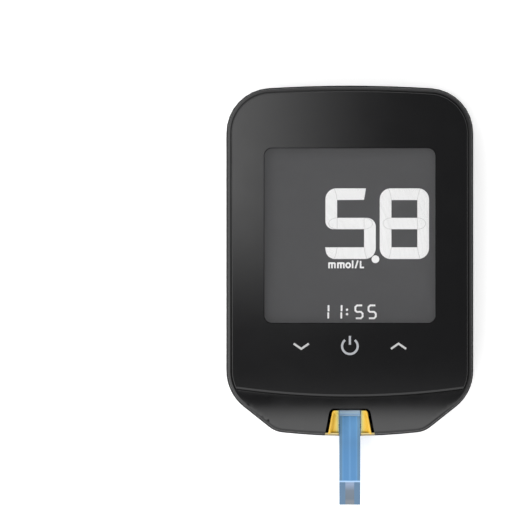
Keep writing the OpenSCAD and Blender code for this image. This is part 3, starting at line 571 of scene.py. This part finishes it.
# Section of the rim: distance inward from the silhouette, and depth below the face
RIM_SECTION = [(0, 0.44), (0.01, 0.36), (0.035, 0.3), (0.07, 0.25), (0.11, 0.215), (0.15, 0.195),
               (0.32, 0.115), (0.49, 0.035), (0.54, 0.01), (0.6, 0)]
# Radius of the small round edges of the pocket and the panel
EDGE_R = 0.12
# Rows of points across the chin: distance between the rows and between the points of a row
ROW_STEP = 0.4
ROW_POINT_STEP = 1.2
DISPLAY_GAP = 0.15
USB_GAP = 0.35
USB_R = 0.8


def grown(loop, amount):
    """Closed outline moved outward by an amount, which is a number or a function of the point."""
    count = len(loop)
    moved = []
    for i, p in enumerate(loop):
        tangent = (loop[(i + 1) % count] - loop[i - 1]).normalized()
        distance = amount(p) if callable(amount) else amount
        moved.append(p + Vector((tangent.y, -tangent.x)) * distance)
    return moved


def make_front_cover():
    shell = Solid()
    low = shell.add(outline(STEP), PARTING_Z)
    ring = low
    for inward, depth in RIM_SECTION:
        upper = shell.add(outline(STEP + inward), lambda y, depth=depth: face_height(y) - depth)
        shell.band(ring, upper)
        ring = upper
    # Top: a land round the panel's pocket, and the chin with rows of points across its curve
    pocket = above_crease(RIM_W, PANEL_GAP)
    pocket_edge = grown(pocket, EDGE_R)
    edge = outline(STEP + RIM_SECTION[-1][0])
    rows = []
    y = BASE_Y + 1.3
    while y < CHIN_Y + 1:
        rows += [Vector((x * ROW_POINT_STEP, y)) for x in range(-24, 25)]
        y += ROW_STEP
    margin = outline(RIM_W + 0.2)
    kept_clear = above_crease(RIM_W, PANEL_GAP + 0.4)
    rows = [p for p in rows if inside(p, margin) and not inside(p, kept_clear)]
    shell.fill(edge, [pocket_edge], face_height, rows)
    ring = shell.add(pocket_edge, face_height)
    for angle in (30, 60, 90):
        lean = math.radians(angle)
        moved = grown(pocket, EDGE_R * (1 - math.sin(lean)))
        lower = shell.add(moved, lambda y, lean=lean: face_height(y) - EDGE_R * (1 - math.cos(lean)))
        shell.band(ring, lower)
        ring = lower
    shell.band(ring, shell.add(pocket, PANEL_LOW.z))
    # Floor of the pocket, opening of the display and the inside
    opening_gap = Vector((DISPLAY_GAP, DISPLAY_GAP, 0))
    opening = rectangle(GLASS_LOW - opening_gap, GLASS_HIGH + opening_gap)
    shell.fill(pocket, [opening], PANEL_LOW.z)
    cavity = outline(WALL)
    shell.band(shell.add(opening, FACE_Z - FACE_T), shell.add(opening, PANEL_LOW.z))
    inner = [p for p in rows if inside(p, outline(WALL + 0.2))]
    shell.fill(cavity, [opening], lambda y: face_height(y) - FACE_T, inner)
    shell.band(shell.add(cavity, PARTING_Z), shell.add(cavity, lambda y: face_height(y) - FACE_T))
    shell.band(shell.add(cavity, PARTING_Z), low)
    piece = shell.make("front_shell")

    notch = Solid()
    notch.prism(notch_outline(0, 0, BASE_Y - 2), PARTING_Z - 1, FACE_Z + 1)
    usb_low, usb_high = node_box("usb_shell")
    right, left = usb_high.x + USB_GAP, usb_low.x - USB_GAP
    top, bottom = usb_high.z + USB_GAP, usb_low.z - USB_GAP
    slot = rounded([(right, bottom, USB_R), (right, top, USB_R), (left, top, USB_R), (left, bottom, USB_R)])
    opening_tool = Solid()
    opening_tool.prism(slot, -2.5, 2.5)
    opening_piece = opening_tool.make("usb_tool")
    for v in opening_piece.data.vertices:
        v.co = Vector((v.co.x, TOP_Y * MM - v.co.z, v.co.y))
    cut(piece, notch.make("notch_tool"), opening_piece)
    place(piece, "housing", "shell", "front_shell", "front_cover")


make_front_cover()


# ---- Front panel, its key films and the keys ----

FILM_T = 0.3
FILM_TOP = PANEL_HIGH.z - 0.03
# Width of the ring of film round a key
FILM_RING = 1.4
WINDOW_GAP = 0.05
WINDOW_R = 1.9
KEY_HALF = Vector((8.8, 6.4)) / 2
KEYS = ("key_down", "key_select", "key_up")
KEY_GAP = 0.1
KEY_R = 1
KEY_FLANGE_T = 0.4
KEY_FLANGE_DROP = 0.5
PLUNGER_R = 1.1


def key_centre(name):
    low, high = node_box(name)
    return Vector(((low.x + high.x) / 2, (low.y + high.y) / 2))


def make_panel():
    gap = Vector((WINDOW_GAP, WINDOW_GAP, 0))
    window = rectangle(WINDOW_LOW - gap, WINDOW_HIGH + gap, WINDOW_R, 10)
    holes = [window]
    for name in KEYS:
        centre = key_centre(name)
        holes.append(rectangle(centre - KEY_HALF, centre + KEY_HALF))

    def on_crease(p):
        return (p - CREASE_C).length > CREASE_R - 0.01

    panel = Solid()
    edge = above_crease(RIM_W + PANEL_GAP, 0)
    low = panel.add(edge, PANEL_LOW.z)
    shoulder = panel.add(edge, FACE_Z)
    middle = panel.add(grown(edge, lambda p: -0.7 * CREASE_BEVEL if on_crease(p) else 0), FILM_TOP - EDGE_R)
    inner = grown(edge, lambda p: -CREASE_BEVEL if on_crease(p) else -EDGE_R)
    upper = panel.add(inner, FILM_TOP)
    for below, above in ((low, shoulder), (shoulder, middle), (middle, upper)):
        panel.band(below, above)
    panel.fill(inner, holes, FILM_TOP)
    panel.fill(edge, holes, PANEL_LOW.z)
    for hole in holes:
        panel.band(panel.add(hole, PANEL_LOW.z), panel.add(hole, FILM_TOP))
    place(panel.make("front_film"), "housing", "panel", "panel", "front_panel")


make_panel()


def circle(centre, radius, steps=24):
    return [centre + radius * Vector((math.cos(math.tau * i / steps), math.sin(math.tau * i / steps)))
            for i in range(steps)]


def area(loop):
    return abs(sum(a.cross(b) for a, b in zip(loop, loop[1:] + loop[:1]))) / 2


def make_key(name, icon, mark_material="print"):
    centre = key_centre(name)
    inner = KEY_HALF - Vector((FILM_RING, FILM_RING))
    quadrants = ((1, -1), (1, 1), (-1, 1), (-1, -1))
    outer_corners = [Vector((sx * KEY_HALF.x, sy * KEY_HALF.y)) for sx, sy in quadrants]
    inner_corners = [Vector((sx * inner.x, sy * inner.y)) for sx, sy in quadrants]
    side_names = ("right", "far", "left", "near")
    rows = 6
    for i, side in enumerate(side_names):
        k = (i + 1) % 4
        film = Solid()
        grid = []
        for row in range(rows + 1):
            share = row / rows
            a = outer_corners[i].lerp(inner_corners[i], share)
            b = outer_corners[k].lerp(inner_corners[k], share)
            grid.append([centre + a, centre + b])
        flat = [row[0] for row in grid] + [row[1] for row in reversed(grid)]
        for height in (FILM_TOP - FILM_T, FILM_TOP):
            numbers = film.add(flat, height)
            for row in range(rows):
                far = len(flat) - 1 - row
                film.faces.append((numbers[row], numbers[row + 1], numbers[far - 1], numbers[far]))
        count = len(flat)
        film.faces += [(n, (n + 1) % count, (n + 1) % count + count, n + count) for n in range(count)]
        piece = film.make(f"{name}_film_{side}")
        paint(piece, "panel")
        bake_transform(piece)

    # Stack of the cap from the plunger up: outline, lowest and highest level
    flange_z = FACE_Z - FACE_T - KEY_FLANGE_DROP
    flange_top = flange_z + KEY_FLANGE_T
    body_top = FILM_TOP - 2 * FILM_T
    flange_half = Vector(((KEY_HIGH.x - KEY_LOW.x) / 2, (KEY_HIGH.y - KEY_LOW.y) / 2))
    body_half = KEY_HALF - Vector((KEY_GAP, KEY_GAP))
    levels = [(circle(centre, PLUNGER_R), KEY_LOW.z, flange_z),
              (rectangle(centre - flange_half, centre + flange_half, KEY_R), flange_z, flange_top),
              (rectangle(centre - body_half, centre + body_half, KEY_R), flange_top, body_top),
              (rectangle(centre - inner, centre + inner), body_top, FILM_TOP)]
    cap = Solid()
    for i, (loop, low, high) in enumerate(levels):
        cap.band(cap.add(loop, low), cap.add(loop, high))
        if i == 0:
            cap.fill(loop, [], low)
        if i == len(levels) - 1:
            cap.fill(loop, [], high)
        else:
            following = levels[i + 1][0]
            narrow, wide = sorted((loop, following), key=area)
            cap.fill(wide, [narrow], high)
    place(cap.make(f"{name}_cap"), name, "panel", "keys", name)

    mark = Solid()
    for shape, holes in icon:
        mark.prism([centre + p for p in shape], FILM_TOP - 0.01, PANEL_HIGH.z - 0.005,
                   [[centre + p for p in hole] for hole in holes])
    place(mark.make(f"{name}_mark"), name, mark_material, "keys")


def polyline(points, width, closed=False):
    """Outline of a line of even width through points, with mitred corners and square ends."""
    half = width / 2
    sides = ([], [])
    count = len(points)
    for i, p in enumerate(points):
        before = points[i - 1] if i > 0 or closed else None
        after = points[(i + 1) % count] if i < count - 1 or closed else None
        directions = []
        if before is not None:
            directions.append((p - before).normalized())
        if after is not None:
            directions.append((after - p).normalized())
        tangent = sum(directions, Vector((0, 0))).normalized()
        normal = Vector((-tangent.y, tangent.x))
        stretch = half / max(normal.dot(Vector((-directions[0].y, directions[0].x))), 0.2)
        sides[0].append(p + normal * stretch)
        sides[1].append(p - normal * stretch)
    return sides[1] + sides[0][::-1]


CHEVRON_W = 3.6
CHEVRON_H = 1.25
MARK_STROKE = 0.47
POWER_STROKE = MARK_STROKE * 1.1
POWER_R = 1.85
POWER_GAP = math.radians(38)


def chevron(side):
    """Chevron that points down for side -1 and up for side 1."""
    ends = [Vector((-CHEVRON_W / 2, -side * CHEVRON_H / 2)), Vector((0, side * CHEVRON_H / 2)),
            Vector((CHEVRON_W / 2, -side * CHEVRON_H / 2))]
    return [(polyline(ends, MARK_STROKE), [])]


def power_mark():
    """Broken ring with a bar in its gap."""
    steps = 40
    start = math.pi / 2 + POWER_GAP
    sweep = 2 * math.pi - 2 * POWER_GAP
    ring = [POWER_R * Vector((math.cos(start + sweep * i / steps), math.sin(start + sweep * i / steps)))
            for i in range(steps + 1)]
    bar = [Vector((0, 0.35)), Vector((0, 2.45))]
    return [(polyline(ring, POWER_STROKE), []), (polyline(bar, POWER_STROKE), [])]


make_key("key_down", chevron(-1))
make_key("key_select", power_mark(), "dim_print")
make_key("key_up", chevron(1))


# ---- Display ----

# Large digits: stroke, corner radius, lowest and highest level, and the levels of the middle bar
DIGIT_STROKE = 2.77
DIGIT_R = 2.6
DIGIT_Y0 = 0.43
DIGIT_Y1 = 17.2
MIDDLE_Y0 = 7.5
MIDDLE_Y1 = 10.2
FIVE_X0, FIVE_X1 = -5.8, 6.15
EIGHT_X0, EIGHT_X1 = 7.1, 18.8
POINT_C = Vector((6.07, 0.38))
POINT_R = 0.92
HAIRLINE = 0.09
HAIRLINE_RISE = 0.01


def big_five():
    s = DIGIT_STROKE
    return rounded([
        (3.36, DIGIT_Y1 - s + 0.06, 0), (3.82, DIGIT_Y1, 0), (FIVE_X0, DIGIT_Y1, DIGIT_R),
        (FIVE_X0, MIDDLE_Y0, 1.9), (FIVE_X1 - s, MIDDLE_Y0, 0), (FIVE_X1 - s, DIGIT_Y0 + s, 0),
        (FIVE_X0 - 0.05, DIGIT_Y0 + s, 0), (FIVE_X0 + 0.35, DIGIT_Y0, 2.2), (FIVE_X1, DIGIT_Y0, DIGIT_R),
        (FIVE_X1, MIDDLE_Y1, 2.1), (FIVE_X0 + s, MIDDLE_Y1, 0), (FIVE_X0 + s, DIGIT_Y1 - s, 0)], 10)


def big_eight():
    s = DIGIT_STROKE
    low, high = Vector((EIGHT_X0, DIGIT_Y0)), Vector((EIGHT_X1, DIGIT_Y1))
    counters = [rectangle(Vector((low.x + s, low.y + s)), Vector((high.x - s, MIDDLE_Y0))),
                rectangle(Vector((low.x + s, MIDDLE_Y1)), Vector((high.x - s, high.y - s)))]
    return rectangle(low, high, DIGIT_R, 10), counters


def half_ellipse(x, side, reach):
    """Line that bulges sideways across the middle bar."""
    middle = (MIDDLE_Y0 + MIDDLE_Y1) / 2
    half = (MIDDLE_Y1 - MIDDLE_Y0) / 2
    return [Vector((x + side * reach * math.cos(a), middle + half * math.sin(a)))
            for a in (math.radians(-90 + 15 * i) for i in range(13))]


def digit_lines():
    """Hairline gaps between the segments of the large digits."""
    s = DIGIT_STROKE
    lines = []
    corner_w = 0.65
    for x0, x1, joints in ((FIVE_X0, FIVE_X1, ("nw", "se", "sw")), (EIGHT_X0, EIGHT_X1, ("nw", "ne", "se", "sw"))):
        for joint in joints:
            west = joint[1] == "w"
            inner_x = x0 + s if west else x1 - s
            outer_x = inner_x - corner_w if west else inner_x + corner_w
            outer_y, inner_y = (DIGIT_Y1 - 0.1, DIGIT_Y1 - s) if joint[0] == "n" else (DIGIT_Y0 + 0.1, DIGIT_Y0 + s)
            bend = Vector(((inner_x * 2 + outer_x) / 3, (inner_y + outer_y) / 2))
            lines.append([Vector((inner_x, inner_y)), bend, Vector((outer_x, outer_y))])
        for x, side in ((x0 + s, -1), (x1 - s, 1)):
            lines.append(half_ellipse(x, side, s * 0.72))
        lines.append([Vector((x1 - s, MIDDLE_Y0)), Vector((x1 - s, MIDDLE_Y1))])
    lines.append([Vector((FIVE_X0 + s, MIDDLE_Y0)), Vector((FIVE_X0 + s, MIDDLE_Y1))])
    return lines


# Clock: stroke, lowest and highest level, width of a five, and places of the digits and the colon
CLOCK_STROKE = 0.42
CLOCK_Y0, CLOCK_Y1 = -13.87, -10.39
CLOCK_W = 2.14
CLOCK_ONES = (-5.1, -2.0)
CLOCK_FIVES = (1.1, 4.22)
COLON_X = -0.67
COLON_R = 0.29


def clock_one(x):
    """Two bars with a small gap, leaning a little."""
    half = CLOCK_STROKE / 2
    middle = (CLOCK_Y0 + CLOCK_Y1) / 2
    lean = 0.03
    gap = 0.12
    shapes = []
    for y0, y1, dx in ((CLOCK_Y0 + 0.15, middle - gap, -lean), (middle + gap, CLOCK_Y1 - 0.15, lean)):
        shapes.append(rounded([(x + dx - half, y0, 0.1), (x + dx + half, y0, 0.1),
                               (x + dx + half, y1, 0.1), (x + dx - half, y1, 0.1)], 3))
    return shapes


def clock_five(x):
    """One line through the five, with round corners."""
    half = CLOCK_STROKE / 2
    middle = (CLOCK_Y0 + CLOCK_Y1) / 2
    x0, x1 = x + half, x + CLOCK_W - half
    y0, y1 = CLOCK_Y0 + half, CLOCK_Y1 - half
    path = [(x1 - 0.1, y1), (x0 + 0.4, y1), (x0, y1 - 0.4), (x0, middle + 0.3), (x0 + 0.35, middle),
            (x1 - 0.4, middle), (x1, middle - 0.4), (x1, y0 + 0.4), (x1 - 0.4, y0), (x0 + 0.1, y0)]
    return [polyline([Vector(p) for p in path], CLOCK_STROKE)]


# Unit: lowest level, stroke, and heights of the small and the tall letters
UNIT_Y0 = -1.78
UNIT_STROKE = 0.38
SMALL_H = 1.42
TALL_H = 1.86


def letter_m(x0, x1):
    s = UNIT_STROKE
    middle = (x0 + x1) / 2
    top = UNIT_Y0 + SMALL_H
    return rounded([(x0, UNIT_Y0, 0), (x0 + s, UNIT_Y0, 0), (x0 + s, top - s, 0.15), (middle - s / 2, top - s, 0.15),
                    (middle - s / 2, UNIT_Y0, 0), (middle + s / 2, UNIT_Y0, 0), (middle + s / 2, top - s, 0.15),
                    (x1 - s, top - s, 0.15), (x1 - s, UNIT_Y0, 0), (x1, UNIT_Y0, 0), (x1, top, 0.35), (x0, top, 0.2)])


def unit_letters():
    """Outlines and holes of the letters of mmol/L."""
    s = UNIT_STROKE
    top = UNIT_Y0 + TALL_H
    ring_c = Vector((-0.41, UNIT_Y0 + SMALL_H / 2))
    ring_r = SMALL_H / 2 + 0.02
    oval = [ring_c + Vector((p.x * 0.92, p.y)) for p in circle(Vector((0, 0)), ring_r)]
    hole = [ring_c + Vector((p.x * 0.85, p.y)) for p in circle(Vector((0, 0)), ring_r - s)]
    bar = rectangle(Vector((0.47, UNIT_Y0)), Vector((0.47 + s, top)))
    slash = polyline([Vector((1.32, UNIT_Y0)), Vector((1.9, top))], s)
    ell = rounded([(2.36, UNIT_Y0, 0.15), (3.36, UNIT_Y0, 0), (3.36, UNIT_Y0 + s, 0), (2.36 + s, UNIT_Y0 + s, 0),
                   (2.36 + s, top - 0.1, 0), (2.36, top - 0.1, 0)])
    return [(letter_m(-5.13, -3.36), []), (letter_m(-3.03, -1.24), []), (oval, [hole]), (bar, []), (slash, []),
            (ell, [])]


def make_display():
    low, high = SEGMENT_LOW.z, SEGMENT_HIGH.z
    shown = Solid()
    shown.prism(big_five(), low, high)
    outer, counters = big_eight()
    shown.prism(outer, low, high, counters)
    shown.prism(circle(POINT_C, POINT_R), low, high)
    shapes = [s for x in CLOCK_ONES for s in clock_one(x)] + [s for x in CLOCK_FIVES for s in clock_five(x)]
    middle = (CLOCK_Y0 + CLOCK_Y1) / 2
    shapes += [circle(Vector((COLON_X, middle + dy)), COLON_R, 16) for dy in (-0.55, 0.5)]
    for shape in shapes:
        shown.prism(shape, low, high)
    place(shown.make("display_digits"), "housing", "display_white", "segments", "display_segments")

    lines = Solid()
    for line in digit_lines():
        lines.prism(polyline(line, HAIRLINE), high - HAIRLINE_RISE, high + HAIRLINE_RISE)
    place(lines.make("display_gap_lines"), "housing", "display_line", "segments")

    unit = Solid()
    for shape, holes in unit_letters():
        unit.prism(shape, low, high, holes)
    place(unit.make("display_unit"), "housing", "display_white", "segments")


make_display()


# ---- Strip port ----

PORT_GAP = 0.45
PORT_SIDE_GAP = 0.7
PORT_BELOW = 0.3
PORT_Z = 3.2
FLANGE_GAP = 0.35
FLANGE_T = 1
FLANGE_TOP = 7.4
WING_R = 0.6
LIP_L = 0.7
BASE_C = Vector((0, BASE_Y + BASE_R))
# Section of the wings inside their edge: distance inward, and depth below the top
WING_SECTION = [(0, 0.12), (0.03, 0.05), (0.09, 0.01), (0.15, 0), (0.32, 0.01), (0.4, 0.06), (0.5, 0.2),
                (0.75, 0.6), (0.95, 0.84), (1.05, 0.9), (1.15, 0.92), (9, 0.92)]


def wing_depth(distance):
    """Depth of a wing below its top edge at a distance inward from that edge."""
    for (d0, z0), (d1, z1) in zip(WING_SECTION, WING_SECTION[1:]):
        if distance <= d1:
            return z0 + (z1 - z0) * (distance - d0) / (d1 - d0)
    return WING_SECTION[-1][1]


def base_arc_y(x):
    return BASE_C.y - math.sqrt(BASE_R ** 2 - x ** 2)


def make_wings():
    """Two sunken wings with raised edges beside the strip's channel."""
    end_y = NOTCH_Y - PORT_GAP
    half = NOTCH_W / 2 - PORT_SIDE_GAP / math.cos(FLARE) + PORT_GAP * math.tan(FLARE)
    corner = Vector((half + WING_R * math.tan(FLARE) - WING_R / math.cos(FLARE), end_y - WING_R))

    def side_x(y):
        """Outer edge of a wing at y."""
        if y > corner.y + WING_R * math.sin(FLARE):
            return corner.x + math.sqrt(max(WING_R ** 2 - (y - corner.y) ** 2, 0))
        return half + (end_y - y) * math.tan(FLARE)

    def top(x, y):
        if y > corner.y and x > corner.x:
            side = WING_R - (Vector((x, y)) - corner).length
        else:
            side = min((side_x(y) - x) * math.cos(FLARE), end_y - y)
        return face_height(y) - PORT_BELOW - wing_depth(max(side, 0))

    shares = [0, 0.012, 0.03, 0.055, 0.09, 0.13, 0.17, 0.22, 0.28, 0.34, 0.4, 0.48, 0.56, 0.66, 0.78, 0.9, 1]
    length = end_y - base_arc_y(0) - LIP_L / 2
    near = [length * i / 14 for i in range(12)]
    far = [length - d for d in (1.0, 0.85, 0.7, 0.55, 0.45, 0.36, 0.28, 0.2, 0.14, 0.08, 0.03, 0)]
    wings = Solid()
    grids = ([], [])
    for rise in near + far:
        row = []
        for side in (-1, 1):
            wing = []
            for share in shares:
                y = end_y - length + rise
                x = CHANNEL + (side_x(y) - CHANNEL) * (1 - share)
                front = base_arc_y(x) + LIP_L / 2
                y = front + (end_y - front) * rise / length
                x = CHANNEL + (side_x(y) - CHANNEL) * (1 - share)
                wing.append((side * x, y, top(x, y)))
            wing.append((side * CHANNEL, wing[-1][1], CHANNEL_Z))
            row += wing if side < 0 else wing[::-1]
        for grid, points in zip(grids, (row, [(x, y, PORT_Z) for x, y, _ in row])):
            first = len(wings.points)
            grid.append(list(range(first, first + len(points))))
            wings.points += points
    for grid in grids:
        for before, after in zip(grid, grid[1:]):
            wings.faces += [(before[i], before[i + 1], after[i + 1], after[i]) for i in range(len(before) - 1)]
    tops, bottoms = ([row[0] for row in grid] + grid[-1][1:] + [row[-1] for row in grid[-2::-1]] + grid[0][-2:0:-1]
                     for grid in grids)
    wings.band(bottoms, tops)
    piece = wings.make("strip_port_wings", math.radians(50))
    place(piece, "housing", "yellow", "port", "strip_port")


def make_lip():
    """Lip across the notch's mouth on each side of the strip, which slopes down to the base."""
    lip = Solid()
    steps = 16
    for side in (-1, 1):
        rows = []
        for i in range(steps + 1):
            x = CHANNEL + (MOUTH_W / 2 - 0.08 - CHANNEL) * i / steps
            y = base_arc_y(x)
            z = LIP_Z
            section = [(y + LIP_L, PORT_Z), (y + LIP_L, z - 0.04), (y + LIP_L - 0.04, z), (y + LIP_SLOPE_L + 0.05, z),
                       (y + LIP_SLOPE_L, z - 0.05), (y + 0.02, z - LIP_DROP), (y + 0.02, PORT_Z)]
            rows.append([len(lip.points) + k for k in range(len(section))])
            lip.points += [(side * x, py, pz) for py, pz in section]
        for before, after in zip(rows, rows[1:]):
            lip.band(before, after)
        lip.faces += [tuple(rows[0]), tuple(rows[-1])]
    place(lip.make("strip_port_lip"), "housing", "lip", "port")


def make_neck():
    """Flange behind the end wall, and the neck that reaches the connector."""
    port_low, port_high = node_box("strip_port")
    flange_y = BASE_Y + WALL + FLANGE_GAP
    neck_x = NOTCH_W / 2 - PORT_SIDE_GAP
    neck = Solid()
    flange = rectangle(Vector((port_low.x, flange_y)), Vector((port_high.x, flange_y + FLANGE_T)))
    neck.prism(flange, port_low.z, FLANGE_TOP)
    neck.prism(rectangle(Vector((-neck_x, NOTCH_Y - 1.5)), Vector((neck_x, port_high.y))), PORT_Z, BOARD_LOW.z - 0.2)
    notch_channel = Solid()
    notch_channel.prism(rectangle(Vector((-CHANNEL, BASE_Y)), Vector((CHANNEL, NOTCH_Y + 0.2))), CHANNEL_Z, FACE_Z)
    slot = Solid()
    slot.prism(rectangle(Vector((-CHANNEL, BASE_Y)), Vector((CHANNEL, 0))), CHANNEL_Z, FILM_HIGH.z + 0.1)
    piece = neck.make("strip_port_neck")
    cut(piece, notch_channel.make("notch_channel"), slot.make("slot"))
    # The dark brown here is painted shade
    place(piece, "housing", "port_painted_shade", "port")


make_wings()
make_lip()
make_neck()


# ---- The other solids keep their own meshes ----

NODE_MATERIALS = {
    "display_window": "lens", "display_gasket": "foam", "display_front_glass": "glass",
    "display_rear_glass": "display_back", "display_reflector": "display_back", "display_holder": "white_plastic",
    "display_tail": "amber", "display_socket": "ivory", "dome_down": "steel", "dome_select": "steel",
    "dome_up": "steel", "main_board": "board", "microcontroller": "chip", "board_chips": "chip",
    "board_passives": "ceramic", "board_screws": "steel", "usb_shell": "steel", "usb_tongue": "chip",
    "strip_connector": "chip", "strip_contacts": "gilt", "rear_cover": "rear",
    "rear_label": "label", "case_screws": "steel", "battery_door": "rear", "coin_cell": "steel",
    "battery_pull_tab": "tab", "battery_contact_positive": "gilt", "battery_contact_negative": "gilt",
    "strip_base": "base", "strip_film": "film", "strip_zone": "zone",
}


def soften(piece, angle=math.radians(32)):
    """Smooth shading over a solid's own mesh: joins its faces, then splits them at sharp edges."""
    if "custom_normal" in piece.data.attributes:
        piece.data.attributes.remove(piece.data.attributes["custom_normal"])
    piece.data.polygons.foreach_set("use_smooth", [True] * len(piece.data.polygons))
    weld = piece.modifiers.new("weld", "WELD")
    weld.merge_threshold = 1e-6
    split = piece.modifiers.new("split", "EDGE_SPLIT")
    split.split_angle = angle
    split.use_edge_sharp = False


for node, material in NODE_MATERIALS.items():
    paint(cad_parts[node], material)
    soften(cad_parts[node])

# Each snap dome gets a mesh of its own
for way in ("down", "select", "up"):
    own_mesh(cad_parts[f"dome_{way}"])


# ---- Floor, light and camera ----

# Camera straight above: width of its frame, middle of the frame, height above the panel, and sensor
FRAME_W = 126.1
CENTRE = Vector((-20.04, -1.12))
CAMERA_HEIGHT = 6000
SENSOR_W = 36
# Half the floor's side and its place under the part, in metres
FLOOR_HALF = 3.0
FLOOR_Z = -0.0002


def make_floor():
    mesh = bpy.data.meshes.new("floor")
    corners = [(sx * FLOOR_HALF, sy * FLOOR_HALF, 0) for sx, sy in ((-1, -1), (1, -1), (1, 1), (-1, 1))]
    mesh.from_pydata(corners, [], [(0, 1, 2, 3)])
    floor = bpy.data.objects.new("floor", mesh)
    scene.collection.objects.link(floor)
    floor.location.z = FLOOR_Z
    material, _, _, shader = new_material("floor_pale")
    shader.inputs["Roughness"].default_value = 0.8
    shader.inputs["Base Color"].default_value = (0.96, 0.96, 0.96, 1)
    shader.inputs["Emission Color"].default_value = (1, 1, 1, 1)
    shader.inputs["Emission Strength"].default_value = 0.3
    mesh.materials.append(material)


# Brightness of the studio round the object: sine of the direction's elevation, brightness
STUDIO = [(0.0, 1.1), (0.17, 1.1), (0.26, 0.9), (0.42, 1.3), (0.55, 1.9), (0.8, 1.9), (0.85, 1.4), (0.88, 0.95),
          (0.91, 0.5), (0.935, 0.2), (0.955, 0.1), (1.0, 0.08)]
# The studio is brighter on the left and at the foot: level, and lean along the direction
STUDIO_LEVEL = 0.98
STUDIO_LEAN = (-0.55, -0.2, 0)


def make_world():
    world = bpy.data.worlds.new("studio")
    scene.world = world
    world.use_nodes = True
    nodes = world.node_tree.nodes
    links = world.node_tree.links
    background = nodes["Background"]
    direction = nodes.new("ShaderNodeTexCoord")
    split = nodes.new("ShaderNodeSeparateXYZ")
    ramp = nodes.new("ShaderNodeValToRGB")
    ramp.color_ramp.elements.remove(ramp.color_ramp.elements[0])
    for i, (height, level) in enumerate(STUDIO):
        stop = ramp.color_ramp.elements[0] if i == 0 else ramp.color_ramp.elements.new(height)
        stop.position = height
        stop.color = (level, level, level, 1)
    lean = nodes.new("ShaderNodeVectorMath")
    lean.operation = "DOT_PRODUCT"
    lean.inputs[1].default_value = STUDIO_LEAN
    level = nodes.new("ShaderNodeMath")
    level.operation = "ADD"
    level.inputs[1].default_value = STUDIO_LEVEL
    links.new(direction.outputs["Generated"], split.inputs["Vector"])
    links.new(direction.outputs["Generated"], lean.inputs[0])
    links.new(lean.outputs["Value"], level.inputs[0])
    links.new(split.outputs["Z"], ramp.inputs["Fac"])
    links.new(ramp.outputs["Color"], background.inputs["Color"])
    links.new(level.outputs["Value"], background.inputs["Strength"])


def area_light(name, position, target, size, radiance):
    """Rectangular light of an even brightness, which the camera doesn't see."""
    data = bpy.data.lights.new(name, "AREA")
    data.shape = "RECTANGLE"
    data.size = size[0] * MM
    data.size_y = size[1] * MM
    data.energy = radiance * math.pi * data.size * data.size_y
    lamp = bpy.data.objects.new(name, data)
    scene.collection.objects.link(lamp)
    lamp.location = Vector(position) * MM
    lamp.rotation_mode = "QUATERNION"
    aim = (Vector(target) - Vector(position)).normalized()
    lamp.rotation_quaternion = aim.to_track_quat("-Z", "Y")
    lamp.visible_camera = False


def make_camera():
    data = bpy.data.cameras.new("camera")
    camera = bpy.data.objects.new("camera", data)
    scene.collection.objects.link(camera)
    data.sensor_width = SENSOR_W
    data.lens = data.sensor_width * CAMERA_HEIGHT / FRAME_W
    data.clip_end = 20
    camera.location = (CENTRE.x * MM, CENTRE.y * MM, (CAMERA_HEIGHT + PANEL_HIGH.z) * MM)
    scene.camera = camera


# Three lights overlap into the highlight on the panel: right edge, lower edge, height, radiance
HIGHLIGHT_SIZE = (50, 70)
HIGHLIGHTS = ((-24, 10, 232, 1.15), (-12, 0, 236, 0.95), (0, -9, 240, 0.75))

make_floor()
make_world()
for edge_x, edge_y, height, radiance in HIGHLIGHTS:
    centre_x, centre_y = edge_x - HIGHLIGHT_SIZE[0] / 2, edge_y + HIGHLIGHT_SIZE[1] / 2
    area_light("highlight", (centre_x, centre_y, height), (centre_x, centre_y, 0), HIGHLIGHT_SIZE, radiance)
area_light("chin_light", (0, -278, 288), (0, -36, 10), (420, 270), 0.9)
area_light("foot_light", (0, -36, 110), (0, -36, 0), (90, 12), 0.36)
make_camera()
scene.view_settings.view_transform = "Standard"
